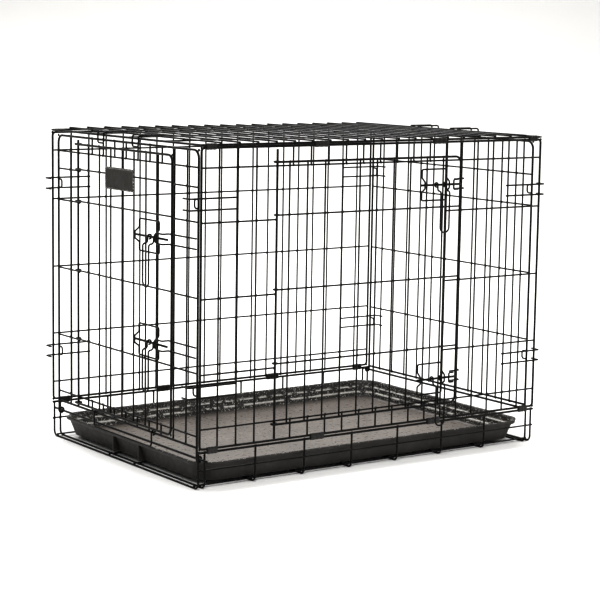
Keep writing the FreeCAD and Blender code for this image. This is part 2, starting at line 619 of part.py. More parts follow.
def clips(face, low, high, end_clip):
    """Sheet clips closed round two neighbouring wires, between a panel's uprights."""
    bands = []
    middles = [(grid(side_edge, side_pitch, bay), clip_length) for bay in MIDDLE_CLIP_BAYS]
    for middle, length in [(f"(-1 * {end_clip})", end_clip_length), (end_clip, end_clip_length)] + middles:
        u = f"({middle} - {length} / 2)"
        outer = capsule(face, u, low, high, "(frame_radius + clip_play + clip_wall)", length)
        inner = capsule(face, f"({u} - 1)", low, high, "(frame_radius + clip_play)", f"({length} + 2)")
        band = doc.addObject("Part::Cut", "clip")
        band.Base = outer
        band.Tool = inner
        bands.append(band)
    return bands


node("front_base_clips", clips(FRONT, base_rail_height, "fold_height", base_end_clip))
node("back_base_clips", clips(BACK, base_rail_height, "fold_height", base_end_clip))
node("lid_clips", clips(FRONT, side_top, lid_plane, lid_end_clip))


# ---------------------------------------------------------------- pan
def eight_sided(body, name, height, half_x, half_y, cut):
    """A sketch of a rectangle with its corners cut off, at a height above the floor."""
    sketch = body.newObject("Sketcher::SketchObject", name)
    plane = [item for item in body.Origin.OriginFeatures if item.Role == "XY_Plane"][0]
    sketch.AttachmentSupport = [(plane, "")]
    sketch.MapMode = "FlatFace"
    sketch.setExpression("AttachmentOffset.Base.z", bound(height))
    corners = [(1, -1, 1, 0), (1, -1, 0, 1), (1, 1, 0, 1), (1, 1, 1, 0),
               (-1, 1, 1, 0), (-1, 1, 0, 1), (-1, -1, 0, 1), (-1, -1, 1, 0)]
    spots = []
    for sign_x, sign_y, cut_x, cut_y in corners:
        x = sign_x * (number(half_x) - cut_x * number(cut))
        y = sign_y * (number(half_y) - cut_y * number(cut))
        spots.append(FreeCAD.Vector(x, y, 0))
    for index, spot in enumerate(spots):
        sketch.addGeometry(Part.LineSegment(spot, spots[(index + 1) % 8]), False)
    for index in range(8):
        sketch.addConstraint(Sketcher.Constraint("Coincident", index, 2, (index + 1) % 8, 1))
    for index, (sign_x, sign_y, cut_x, cut_y) in enumerate(corners):
        for kind, sign, half, share in (("DistanceX", sign_x, half_x, cut_x), ("DistanceY", sign_y, half_y, cut_y)):
            size = f"({half} - {share} * {cut})"
            ends = (-1, 1, index, 1) if sign > 0 else (index, 1, -1, 1)
            made = sketch.addConstraint(Sketcher.Constraint(kind, *ends, number(size)))
            sketch.setExpression(f"Constraints[{made}]", bound(size))
    return sketch


pan = doc.addObject("PartDesign::Body", "pan")
pan_half_x = "(crate_length / 2 - pan_end_play - pan_lip)"
pan_half_y = f"({leg_side} - base_radius - pan_side_play - pan_lip)"
pan_floor_height = f"({long_level} + mesh_radius + pan_floor_play)"
lower = (pan_floor_height, f"({pan_half_x} - pan_flare)", f"({pan_half_y} - pan_flare)",
         "(pan_corner - pan_lip)")
upper = (pan_rim_height, pan_half_x, pan_half_y, "(pan_corner - pan_lip)")
outside = pan.newObject("PartDesign::AdditiveLoft", "outside")
outside.Profile = eight_sided(pan, "outside_bottom", *lower)
outside.Sections = [eight_sided(pan, "outside_top", *upper)]
rim_profile = eight_sided(pan, "rim_outline", f"({pan_rim_height} - pan_wall)", f"({pan_half_x} + pan_lip)",
                          f"({pan_half_y} + pan_lip)", "pan_corner")
rim = pan.newObject("PartDesign::Pad", "rim")
rim.Profile = rim_profile
rim.setExpression("Length", bound("pan_wall"))
hollow = pan.newObject("PartDesign::SubtractiveLoft", "hollow")
hollow.Profile = eight_sided(pan, "inside_bottom", f"({pan_floor_height} + pan_wall)",
                             f"({pan_half_x} - pan_flare - pan_wall)", f"({pan_half_y} - pan_flare - pan_wall)",
                             "(pan_corner - pan_lip)")
hollow.Sections = [eight_sided(pan, "inside_top", f"({pan_rim_height} + 0.01)", f"({pan_half_x} - pan_wall)",
                               f"({pan_half_y} - pan_wall)", "(pan_corner - pan_lip)")]
pan.Label = "pan"
nodes.append(pan)

# ---------------------------------------------------------------- checks and files
doc.recompute()
faults = [item.Label for item in doc.Objects if "Invalid" in item.State or "Error" in item.State]
for part in nodes:
    if part.Shape.isNull() or not part.Shape.isValid() or not part.Shape.Solids:
        faults.append(part.Label)
if faults:
    print("faulty:", faults)
    sys.exit(1)
os.makedirs("parts", exist_ok=True)
for part in nodes:
    part.Shape.exportStep(os.path.join("parts", part.Label + ".step"))
print(len(nodes), "nodes,", sum(len(part.Shape.Solids) for part in nodes), "solids")
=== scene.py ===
import json
import math
import zlib

import bpy
import numpy as np
from bpy.props import FloatProperty, FloatVectorProperty, IntProperty, PointerProperty
from mathutils import Matrix, Vector


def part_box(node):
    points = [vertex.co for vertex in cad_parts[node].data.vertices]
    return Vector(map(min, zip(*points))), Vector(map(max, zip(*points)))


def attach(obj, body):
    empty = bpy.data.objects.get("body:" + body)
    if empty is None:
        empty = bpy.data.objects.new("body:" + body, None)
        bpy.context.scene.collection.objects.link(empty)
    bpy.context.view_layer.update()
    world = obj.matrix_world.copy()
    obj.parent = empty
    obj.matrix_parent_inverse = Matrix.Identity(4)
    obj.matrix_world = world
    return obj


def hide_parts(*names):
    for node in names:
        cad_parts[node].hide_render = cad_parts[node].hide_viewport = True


bl_info = {
    "name": "Wire Dog Crate",
    "version": (1, 0, 0),
    "blender": (4, 5, 0),
    "location": "View3D > Sidebar > Dog Crate",
    "description": "Dresses the frame of a folding wire dog crate: bent wires, welds, bolts, clips, pan "
                   "and plate",
    "category": "Object",
}

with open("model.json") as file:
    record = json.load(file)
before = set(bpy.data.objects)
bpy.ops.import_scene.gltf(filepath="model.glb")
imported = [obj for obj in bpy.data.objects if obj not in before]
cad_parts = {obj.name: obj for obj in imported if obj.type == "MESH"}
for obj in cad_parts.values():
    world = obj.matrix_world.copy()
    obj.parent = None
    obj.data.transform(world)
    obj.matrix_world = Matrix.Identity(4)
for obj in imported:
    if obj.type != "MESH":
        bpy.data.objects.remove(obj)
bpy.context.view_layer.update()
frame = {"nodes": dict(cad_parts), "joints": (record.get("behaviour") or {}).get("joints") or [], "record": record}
BODY_OF = {node: body for body, nodes in frame["record"]["behaviour"]["bodies"].items() for node in nodes}
SLOT_OF = {part["node"]: part["material_slot"] for part in frame["record"]["subparts"]}
JOINTS = {joint["name"]: joint for joint in frame["joints"]}
MM = 0.001
TOUCH_PLAY = 0.1 * MM      # two wires count as crossing up to this gap
END_PLAY = 0.5 * MM        # and up to this far beyond a wire's end
THICK_WIRE = 1.6 * MM      # a wire of a larger radius gets a frame wire's facets
CLIP_WALL = 0.9 * MM
GUSSET_ASIDE = 0.0385      # a gusset's middle from the middle of the pan's end
PAN_CUT = 24 * MM
PAN_BEND = 17 * MM
# Rows of the pan's profile, counted from its underside.
PAN_RIM = slice(13, 31)
PAN_RIM_TOP = slice(17, 20)
# The wall's ledge rows, and how strongly each carries painted highlight dashes.
PAN_LEDGES = [20, 21, 22, 26, 27, 28]
PAN_LEDGE_SHARES = (0.3, 1.0, 0.7, 0.3, 1.0, 0.7)
PAN_FLOOR = slice(31, 34)
PAN_FLOOR_SHARES = (0.3, 0.8, 1.0)
# Lamps of the stage: name, place, point aimed at, size and power.
LAMPS = (("key_softbox", (-1.6, -2.4, 3.4), (0, 0, 0.2), (2.0, 1.4), 105),
         ("fill_softbox", (3.0, -1.4, 2.0), (0, 0, 0.25), (1.2, 2.0), 26),
         ("back_softbox", (0.8, 2.6, 3.2), (0, 0.4, 0.3), (3.0, 1.6), 150))
ROOM_LIGHT = 0.34
EXPOSURE = 0.32
GAMMA = 0.72


# ---------------------------------------------------------------- sizes and colours a user may change
class CrateSizes(bpy.types.PropertyGroup):
    """Bends and small shapes of the crate's wires"""

    frame_facets: IntProperty(name="Frame facets", description="Sides of a frame wire's circle",
                              default=16, min=6)
    mesh_facets: IntProperty(name="Mesh facets", description="Sides of a mesh wire's circle",
                             default=12, min=6)
    side_bend: FloatProperty(name="Side corner", description="Bend of the side panels' corners",
                             default=0.005, unit="LENGTH")
    end_bend: FloatProperty(name="End corner", description="Bend of the end panels' top corners",
                            default=0.012, unit="LENGTH")
    door_bend: FloatProperty(name="Door corner", description="Bend of the doors' free corners",
                             default=0.010, unit="LENGTH")
    base_bend: FloatProperty(name="Base corner", description="Bend of the base's cross wires",
                             default=0.008, unit="LENGTH")
    hook_bend: FloatProperty(name="Hook bend", description="Bend of the corner hooks",
                             default=0.003, unit="LENGTH")
    staple_bend: FloatProperty(name="Staple bend",
                               description="Bend of the lid's staples and the panels' stops",
                               default=0.004, unit="LENGTH")
    bracket_bend: FloatProperty(name="Bracket bend", description="Bend of a bolt bracket's wire",
                                default=0.0026, unit="LENGTH")
    keeper_bend: FloatProperty(name="Keeper bend", description="Bend of a bolt keeper's wire",
                               default=0.0022, unit="LENGTH")
    pan_stop_bend: FloatProperty(name="Pan stop bend", description="Bend of the pan stop's lower corners",
                                 default=0.007, unit="LENGTH")
    handle_bend: FloatProperty(name="Handle bend", description="Bends of a bolt handle's kink",
                               default=0.0039, unit="LENGTH")
    handle_foot: FloatProperty(name="Handle foot", description="Bends at the foot of a bolt's handle",
                               default=0.0080, unit="LENGTH")
    handle_neck: FloatProperty(name="Handle neck", description="A handle's legs above their kink",
                               default=0.009, unit="LENGTH")
    bracket_bump: FloatProperty(name="Bracket bulge",
                                description="Half the height of a bracket's bulge over the rod",
                                default=0.005, unit="LENGTH")
    keeper_flat: FloatProperty(name="Keeper flat", description="Length of a keeper's raised loop",
                               default=0.0095, unit="LENGTH")
    left_keeper_flat: FloatProperty(name="Left keeper flat",
                                    description="Length of a left keeper's raised loop",
                                    default=0.017, unit="LENGTH")
    eye_turn: FloatProperty(name="Eye turn", description="How far an eye is curled round",
                            default=math.radians(290), subtype="ANGLE")
    sway: FloatProperty(name="Sway", description="How far a mesh wire bows from a straight line",
                        default=0.00015, unit="LENGTH")
    weld_reach: FloatProperty(name="Weld reach", description="Half the width of a spot weld",
                              default=0.0021, unit="LENGTH")


class CrateColours(bpy.types.PropertyGroup):
    """Colours of the crate's finishes and of the stage"""

    wire: FloatVectorProperty(name="Wire coating", description="Black coating of the wires",
                              default=(0.0042, 0.0039, 0.0036), subtype="COLOR", min=0, max=1)
    wire_worn: FloatVectorProperty(name="Rubbed coating", description="Coating where it is thin or rubbed",
                                   default=(0.014, 0.0127, 0.0113), subtype="COLOR", min=0, max=1)
    clip: FloatVectorProperty(name="Clip coating", description="Coating of the sheet clips",
                              default=(0.014, 0.013, 0.012), subtype="COLOR", min=0, max=1)
    pan: FloatVectorProperty(name="Pan", description="Black plastic of the pan",
                             default=(0.034, 0.0318, 0.0288), subtype="COLOR", min=0, max=1)
    # Dust and painted sheen: the pan floor's colour lifts the floor far above the pan's own black, partly for dust
    # and scratches and partly standing in for glare off the shiny floor.
    pan_floor_dust_and_sheen: FloatVectorProperty(name="Pan floor", description="Dust and fine scratches on the pan's floor",
                                  default=(0.245, 0.215, 0.193), subtype="COLOR", min=0, max=1)
    # Painted highlight colour: the pale flecks and dashes on the pan's rim and ledges and the flecks on the
    # plate's border stand in for glints of light, not a colour of the plastic.
    painted_glint_colour: FloatVectorProperty(name="Pan glints", description="Pale flecks on the pan's pebbled rim",
                                   default=(0.78, 0.76, 0.72), subtype="COLOR", min=0, max=1)
    plate: FloatVectorProperty(name="Name plate", description="Enamel of the blank name plate",
                               default=(0.026, 0.0243, 0.0208), subtype="COLOR", min=0, max=1)
    floor: FloatVectorProperty(name="Stage", description="Pale floor and backdrop",
                               default=(0.90, 0.895, 0.885), subtype="COLOR", min=0, max=1)


class CrateView(bpy.types.PropertyGroup):
    """Where the camera stands"""

    azimuth: FloatProperty(name="Azimuth", description="Turn round the crate from the front",
                           default=math.radians(-35.163), subtype="ANGLE")
    elevation: FloatProperty(name="Elevation", description="Height of the view above the horizon",
                             default=math.radians(7.9905), subtype="ANGLE")
    roll: FloatProperty(name="Roll", description="Tilt of the camera",
                         default=math.radians(0.8615), subtype="ANGLE")
    distance: FloatProperty(name="Distance", description="Camera to the point it looks at", default=3.0230,
                            unit="LENGTH")
    aim_aside: FloatProperty(name="Aim aside", description="Point looked at, along the crate from its origin",
                             default=0.0112, unit="LENGTH")
    aim_height: FloatProperty(name="Aim height", description="Point looked at, above the floor",
                              default=0.2262, unit="LENGTH")
    lens: FloatProperty(name="Lens", description="Focal length in millimetres", default=112.6)


# ---------------------------------------------------------------- surfaces from numpy grids
def unit(vectors):
    """Each vector over its own length."""
    vectors = np.asarray(vectors, float)
    return vectors / np.linalg.norm(vectors, axis=-1, keepdims=True)


def grid_faces(rows, columns, wrap_rows=False):
    """Quads between neighbouring rows and columns of a grid whose columns close on themselves."""
    row = np.arange(rows if wrap_rows else rows - 1)[:, None]
    column = np.arange(columns)[None, :]
    after = (column + 1) % columns
    above = (row + 1) % rows
    return np.stack([row * columns + column, row * columns + after,
                     above * columns + after, above * columns + column], axis=-1).reshape(-1, 4)


def cap_faces(first, pole, columns, flip):
    """Triangles from one row of a grid to a pole."""
    column = np.arange(columns)
    after = (column + 1) % columns
    edge = (first + after, first + column) if flip else (first + column, first + after)
    return np.stack([np.full(columns, pole), *edge], axis=-1)


def carried_frames(path, closed):
    """Two directions across the path at each station, carried along it: A(i+1) is A(i) less its part along
    the path, and B = T x A. On a closed path what is left over is shared out as an even twist."""
    ahead = np.roll(path, -1, axis=0) - path
    behind = path - np.roll(path, 1, axis=0)
    if not closed:
        ahead[-1] = behind[-1]
        behind[0] = ahead[0]
    tangents = unit(unit(ahead) + unit(behind))
    across = np.cross(tangents[0], (0.31, 0.52, 0.80))
    rows = []
    for tangent in tangents:
        across = unit(across - tangent * np.dot(across, tangent))
        rows.append(across)
    first = np.array(rows)
    second = np.cross(tangents, first)
    if closed:
        back = unit(first[-1] - tangents[0] * np.dot(first[-1], tangents[0]))
        slip = math.atan2(np.dot(back, second[0]), np.dot(back, first[0]))
        turn = -slip * np.arange(len(path))[:, None] / len(path)
        first, second = (np.cos(turn) * first + np.sin(turn) * second,
                         np.cos(turn) * second - np.sin(turn) * first)
    return first, second


def wire(path, radius, facets, closed=False, dome=0.5):
    """A round wire: P(i, a) = path(i) + r(i) (cos a A(i) + sin a B(i)). An open wire ends in a low dome,
    whose rings have radius r cos f and stand back from the tip by dome r (1 - sin f)."""
    path = np.asarray(path, float)
    radii = np.full(len(path), float(radius))
    if not closed:
        tilt = np.radians((62, 31, 0))
        out_start = unit(path[0] - path[1])
        out_end = unit(path[-1] - path[-2])
        back = dome * radius * (1 - np.sin(tilt))[:, None]
        path = np.vstack([path[0] - back * out_start, path[1:-1], (path[-1] - back * out_end)[::-1]])
        rings = radius * np.cos(tilt)
        radii = np.concatenate([rings, radii[1:-1], rings[::-1]])
    first, second = carried_frames(path, closed)
    angle = np.arange(facets) * 2 * np.pi / facets
    points = (path[:, None] + radii[:, None, None] * (np.cos(angle)[None, :, None] * first[:, None]
                                                       + np.sin(angle)[None, :, None] * second[:, None]))
    points = points.reshape(-1, 3)
    quads = grid_faces(len(path), facets, closed)
    triangles = np.empty((0, 3), int)
    if not closed:
        tips = np.array([path[0] + out_start * dome * radius * (1 - np.sin(tilt[0])),
                         path[-1] + out_end * dome * radius * (1 - np.sin(tilt[0]))])
        last = (len(path) - 1) * facets
        triangles = np.vstack([cap_faces(0, len(points), facets, True),
                               cap_faces(last, len(points) + 1, facets, False)])
        points = np.vstack([points, tips])
    return points, quads, triangles


def bent(corners, bend, closed=False, steps=7):
    """Centre line of a wire bent at its corners, by one radius or by one for each corner. Each corner gives
    way to an arc: with n halving the corner, m the way on and h half the turn, c = corner + r / cos(h) n
    and P(s) = c + r (sin(s) m - cos(s) n)."""
    corners = np.asarray(corners, float)
    count = len(corners)
    radii = np.broadcast_to(bend, count)
    line = []
    for index in range(count):
        if not closed and index in (0, count - 1):
            line.append(corners[index][None])
            continue
        here = corners[index]
        come = unit(here - corners[index - 1])
        go = unit(corners[(index + 1) % count] - here)
        half = math.acos(float(np.clip(np.dot(come, go), -1, 1))) / 2
        if half < 1e-4:
            line.append(here[None])
            continue
        inward = unit(go - come)
        onward = unit(go + come)
        s = np.linspace(-half, half, steps)[:, None]
        centre = here + inward * radii[index] / math.cos(half)
        line.append(centre + radii[index] * (np.sin(s) * onward - np.cos(s) * inward))
    return np.vstack(line)


def with_eyes(line, centres, turn, steps=18):
    """A centre line that goes on into eyes: P(s) = c + r (cos(s) p + sin(s) q), p from the eye's centre to
    the wire's end and q the way the wire goes on. A centre of None leaves that end plain."""
    s = np.linspace(0, turn, steps)[1:, None]
    for reverse, centre in ((True, centres[0]), (False, centres[1])):
        if centre is None:
            continue
        if reverse:
            line = line[::-1]
        spoke = line[-1] - centre
        onward = unit(line[-1] - line[-2]) * np.linalg.norm(spoke)
        line = np.vstack([line, centre + np.cos(s) * spoke + np.sin(s) * onward])
        if reverse:
            line = line[::-1]
    return line


def nuggets(centres, reaches, rows=5, columns=8):
    """Spot welds: small balls C + (X sin f cos a, Y sin f sin a, Z cos f), with three reaches each."""
    centres = np.asarray(centres, float)
    reaches = np.asarray(reaches, float)
    fall = np.pi * np.arange(1, rows) / rows
    angle = np.arange(columns) * 2 * np.pi / columns
    ring = np.stack([np.sin(fall)[:, None] * np.cos(angle), np.sin(fall)[:, None] * np.sin(angle),
                     np.cos(fall)[:, None] * np.ones(columns)], axis=-1).reshape(-1, 3)
    ball = np.vstack([ring, (0, 0, 1), (0, 0, -1)])
    points = centres[:, None] + reaches[:, None] * ball[None]
    shift = (np.arange(len(centres)) * len(ball))[:, None, None]
    quads = grid_faces(rows - 1, columns)[:, ::-1]
    last = (rows - 2) * columns
    triangles = np.vstack([cap_faces(0, len(ring), columns, False),
                           cap_faces(last, len(ring) + 1, columns, True)])
    return (points.reshape(-1, 3), (quads[None] + shift).reshape(-1, 4),
            (triangles[None] + shift).reshape(-1, 3))


def joined(shells):
    """Several shells as one: each one's corner numbers go up by the corners before it."""
    shift = np.cumsum([0] + [len(points) for points, _, _ in shells[:-1]])
    return (np.vstack([points for points, _, _ in shells]),
            np.vstack([quads + step for (_, quads, _), step in zip(shells, shift)]),
            np.vstack([triangles + step for (_, _, triangles), step in zip(shells, shift)]))


def piece(name, shells, finish, body, stands_for=(), crease=None):
    """A finished piece: its mesh in place, its material, its body and the CAD nodes it shows."""
    points, quads, triangles = joined(shells)
    mesh = bpy.data.meshes.new(name)
    mesh.from_pydata(points.tolist(), [], quads.tolist() + triangles.tolist())
    mesh.shade_smooth()
    if crease:
        mesh.set_sharp_from_angle(angle=crease)
    mesh.materials.append(finish)
    shown = bpy.data.objects.new(name, mesh)
    bpy.context.scene.collection.objects.link(shown)
    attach(shown, body)
    if stands_for:
        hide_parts(*stands_for)
    return shown


# ---------------------------------------------------------------- reading the frame
class Side:
    """A flat side of the crate. A place on it is (u along, v up, n out of its plane)."""

    def __init__(self, u, v, n, plane):
        self.axes = np.array((u, v, n), float)
        self.plane = plane

    def world(self, places):
        """P = u U + v V + (n + plane) N."""
        return (np.asarray(places, float) + (0, 0, self.plane)) @ self.axes

    def local(self, points):
        """u = P.U, v = P.V, n = P.N - plane."""
        return np.asarray(points, float) @ self.axes.T - (0, 0, self.plane)


def middle_of(name):
    """Middle of a CAD node's box."""
    low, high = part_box(name)
    return (low + high) / 2


SIDES = {
    "front": Side((1, 0, 0), (0, 0, 1), (0, -1, 0), -middle_of("front_panel_frame").y),
    "back": Side((1, 0, 0), (0, 0, 1), (0, 1, 0), middle_of("back_panel_frame").y),
    "left": Side((0, 1, 0), (0, 0, 1), (-1, 0, 0), -middle_of("left_end_bottom_wire").x),
    "right": Side((0, 1, 0), (0, 0, 1), (1, 0, 0), middle_of("right_end_bottom_wire").x),
    "lid": Side((1, 0, 0), (0, 1, 0), (0, 0, 1), middle_of("lid_frame").z),
    "base": Side((1, 0, 0), (0, 1, 0), (0, 0, 1), 0.0),
}


def half_height(name):
    """Half the height of a CAD node's box."""
    low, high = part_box(name)
    return (high - low).z / 2


FRAME_RADIUS = half_height("lid_frame")
MESH_RADIUS = half_height("lid_long_wires")


def solids(name):
    """Corners of each separate solid of a CAD node. Corners that meet get one number, and every triangle
    hands the lowest number of its corners to the others until nothing changes."""
    mesh = frame["nodes"][name].data
    corners = np.empty(len(mesh.vertices) * 3, np.float32)
    mesh.vertices.foreach_get("co", corners)
    corners = corners.reshape(-1, 3).astype(float)
    mesh.calc_loop_triangles()
    triangles = np.empty(len(mesh.loop_triangles) * 3, np.int32)
    mesh.loop_triangles.foreach_get("vertices", triangles)
    number = np.unique(np.round(corners / 1e-6).astype(np.int64), axis=0, return_inverse=True)[1].ravel()
    triangles = number[triangles].reshape(-1, 3)
    label = np.arange(number.max() + 1)
    while True:
        before = label.copy()
        lowest = label[triangles].min(axis=1)
        for side in range(3):
            np.minimum.at(label, triangles[:, side], lowest)
        label = label[label]
        if (label == before).all():
            break
    group = label[number]
    return [corners[group == one] for one in np.unique(group)]


def side_of(name):
    """The side of the crate that a CAD node belongs to."""
    word = name.split("_")[0]
    return SIDES["left" if word == "pan" else word]


def local_boxes(name):
    """Lowest and highest (u, v, n) of each solid of a CAD node, on its own side of the crate."""
    side = side_of(name)
    return [(side.local(points).min(axis=0), side.local(points).max(axis=0)) for points in solids(name)]


def bars(name):
    """Straight wires of a CAD node as (middle, long axis, half length, radius) in world axes."""
    found = []
    for points in solids(name):
        low, high = points.min(axis=0), points.max(axis=0)
        width = high - low
        axis = int(np.argmax(width))
        found.append(((low + high) / 2, axis, width[axis] / 2, np.delete(width, axis).max() / 2))
    return found


def hinge_place(joint, side):
    """A hinge's place on a side, in (u, v, n)."""
    return side.local(JOINTS[joint]["pos_m"])


# ---------------------------------------------------------------- finishes
class Finish:
    """A material that is put together node by node."""

    def __init__(self, name, roughness):
        self.material = bpy.data.materials.new(name)
        self.material.use_nodes = True
        self.tree = self.material.node_tree
        self.tree.nodes.clear()
        self.surface = self.add("ShaderNodeBsdfPrincipled")
        self.surface.inputs["Roughness"].default_value = roughness
        output = self.add("ShaderNodeOutputMaterial")
        self.link(self.surface, "BSDF", output, "Surface")
        self.place = self.add("ShaderNodeTexCoord")

    def add(self, kind, **values):
        node = self.tree.nodes.new(kind)
        for key, value in values.items():
            if hasattr(node, key):
                setattr(node, key, value)
            else:
                node.inputs[key.replace("_", " ").title()].default_value = value
        return node

    def link(self, source, out, target, into):
        self.tree.links.new(source.outputs[out], target.inputs[into])

    def noise(self, scale, detail=2.0, stretch=None):
        """Noise on the piece's own place, scale cells per metre, drawn out along an axis if stretched."""
        noise = self.add("ShaderNodeTexNoise", Scale=scale, Detail=detail)
        self.feed(noise, stretch)
        return noise

    def cells(self, scale, feature="F1"):
        """Round cells on the piece's own place, scale cells per metre."""
        cells = self.add("ShaderNodeTexVoronoi", feature=feature, Scale=scale)
        self.feed(cells, None)
        return cells

    def feed(self, texture, stretch):
        if stretch is None:
            self.link(self.place, "Object", texture, "Vector")
            return
        mapping = self.add("ShaderNodeMapping")
        mapping.inputs["Scale"].default_value = stretch
        self.link(self.place, "Object", mapping, "Vector")
        self.link(mapping, "Vector", texture, "Vector")

    def ranged(self, source, out, low, high, to_low, to_high):
        """A value carried from one range to another."""
        ranged = self.add("ShaderNodeMapRange")
        for key, value in (("From Min", low), ("From Max", high), ("To Min", to_low), ("To Max", to_high)):
            ranged.inputs[key].default_value = value
        self.link(source, out, ranged, "Value")
        return ranged

    def times(self, first, first_out, second, second_out):
        """Two values multiplied."""
        product = self.add("ShaderNodeMath", operation="MULTIPLY")
        self.tree.links.new(first.outputs[first_out], product.inputs[0])
        self.tree.links.new(second.outputs[second_out], product.inputs[1])
        return product

    def blended(self, share, share_out, first, second):
        """A colour between two, or between an earlier blend and a colour."""
        mix = self.add("ShaderNodeMix", data_type="RGBA")
        self.tree.links.new(share.outputs[share_out], mix.inputs[0])
        if isinstance(first, bpy.types.Node):
            self.tree.links.new(first.outputs[2], mix.inputs[6])
        else:
            mix.inputs[6].default_value = (*first, 1)
        mix.inputs[7].default_value = (*second, 1)
        return mix

    def coloured(self, tone):
        """The surface's colour from a blend."""
        self.tree.links.new(tone.outputs[2], self.surface.inputs["Base Color"])

    def raised(self, source, out, strength, distance, under=None):
        """Bumps from a value, over earlier bumps if there are any."""
        bump = self.add("ShaderNodeBump", Strength=strength, Distance=distance)
        self.link(source, out, bump, "Height")
        if under:
            self.link(under, "Normal", bump, "Normal")
        return bump


def scaled(colour, share):
    """A colour with every part taken by a share."""
    return [share * part for part in colour]


def wire_finish(name, colour, worn):
    """Satin coating: thinner patches, specks of dust in it, a slight orange peel and uneven gloss."""
    finish = Finish(name, 0.36)
    patches = finish.noise(38, 4.0)
    thin = finish.ranged(patches, "Fac", 0.46, 0.74, 0.0, 1.0)
    tone = finish.blended(thin, "Result", colour, worn)
    specks = finish.cells(520)
    speck = finish.ranged(specks, "Distance", 0.0, 0.16, 0.5, 0.0)
    tone = finish.blended(speck, "Result", tone, scaled(worn, 3.2))
    finish.coloured(tone)
    gloss = finish.noise(150, 3.0)
    finish.link(finish.ranged(gloss, "Fac", 0.3, 0.7, 0.27, 0.45), "Result", finish.surface, "Roughness")
    peel = finish.raised(finish.noise(1100, 2.0), "Fac", 0.32, 0.00012)
    finish.link(peel, "Normal", finish.surface, "Normal")
    finish.surface.inputs["Specular IOR Level"].default_value = 0.2
    return finish.material


def clip_finish(name, colour, worn):
    """Coated sheet with drawn lines along the clip and rubbed patches."""
    finish = Finish(name, 0.34)
    lines = finish.noise(160, 3.0, (0.12, 4.0, 4.0))
    rubbed = finish.ranged(lines, "Fac", 0.5, 0.8, 0.0, 0.85)
    tone = finish.blended(rubbed, "Result", colour, scaled(worn, 1.8))
    finish.coloured(tone)
    finish.link(finish.ranged(finish.noise(260, 2.0), "Fac", 0.3, 0.7, 0.24, 0.44), "Result", finish.surface,
                "Roughness")
    dents = finish.raised(finish.noise(300, 2.0), "Fac", 0.35, 0.0004)
    fine = finish.raised(lines, "Fac", 0.25, 0.00015, dents)
    finish.link(fine, "Normal", finish.surface, "Normal")
    return finish.material


def pan_finish(name, colour, dust_and_sheen_colour, painted_glint):
    """Moulded plastic. The mesh's 'pebble' attribute is 1 on the pebbled rim and wall, where cells of about
    3 mm stand up and pale flecks on their tops are painted highlights, 'ledge' is 1 on the wall's two ledges,
    which carry painted highlights in dashes, and 'smooth_floor' is 1 on the floor, which is shiny, has a little
    dust and is lifted pale by a painted sheen."""
    finish = Finish(name, 0.5)
    pebbled = finish.add("ShaderNodeAttribute", attribute_name="pebble")
    mottle = finish.noise(26, 4.0)
    tone = finish.blended(finish.ranged(mottle, "Fac", 0.35, 0.75, 0.0, 1.0), "Result", colour,
                          scaled(colour, 1.55))
    pebbles = finish.cells(360)
    tops = finish.ranged(pebbles, "Distance", 0.18, 0.42, 1.0, 0.0)
    # Painted highlights: pale flecks on the tops of the rim's pebbles, standing in for glints of light.
    scatter = finish.ranged(finish.noise(210, 2.0), "Fac", 0.44, 0.54, 0.0, 1.0)
    painted_glint_mask = finish.times(finish.times(tops, "Result", scatter, "Result"), "Value", pebbled, "Fac")
    tone = finish.blended(painted_glint_mask, "Value", tone, painted_glint)
    scuff = finish.ranged(finish.noise(90, 5.0, (1.0, 0.35, 1.0)), "Fac", 0.56, 0.82, 0.0, 0.4)
    tone = finish.blended(scuff, "Result", tone, scaled(colour, 3.0))
    # Painted highlights: pale dashes along the wall's two ledges, standing in for light caught on their edges.
    ledge = finish.add("ShaderNodeAttribute", attribute_name="ledge")
    dashes = finish.ranged(finish.noise(68, 1.0), "Fac", 0.43, 0.49, 0.0, 1.0)
    tone = finish.blended(finish.times(dashes, "Result", ledge, "Fac"), "Value", tone, painted_glint)
    # Dust and painted sheen: the floor is blended towards a pale warm colour, partly dust and partly standing in
    # for glare off its shiny surface.
    floor = finish.add("ShaderNodeAttribute", attribute_name="smooth_floor")
    dust = finish.noise(14, 5.0, (0.5, 1.0, 1.0))
    dust_and_sheen = finish.times(finish.ranged(dust, "Fac", 0.25, 0.75, 0.55, 1.0), "Result", floor, "Fac")
    tone = finish.blended(dust_and_sheen, "Value", tone, dust_and_sheen_colour)
    finish.coloured(tone)
    rough = finish.ranged(finish.noise(120, 3.0), "Fac", 0.3, 0.7, 0.40, 0.56)
    gloss = finish.ranged(floor, "Fac", 0.0, 1.0, 1.0, 0.62)
    product = finish.times(rough, "Result", gloss, "Result")
    finish.link(product, "Value", finish.surface, "Roughness")
    grain = finish.raised(finish.noise(900, 2.0), "Fac", 0.28, 0.00014)
    height = finish.times(tops, "Result", pebbled, "Fac")
    lumps = finish.raised(height, "Value", 0.9, 0.0012, grain)
    finish.link(lumps, "Normal", finish.surface, "Normal")
    return finish.material


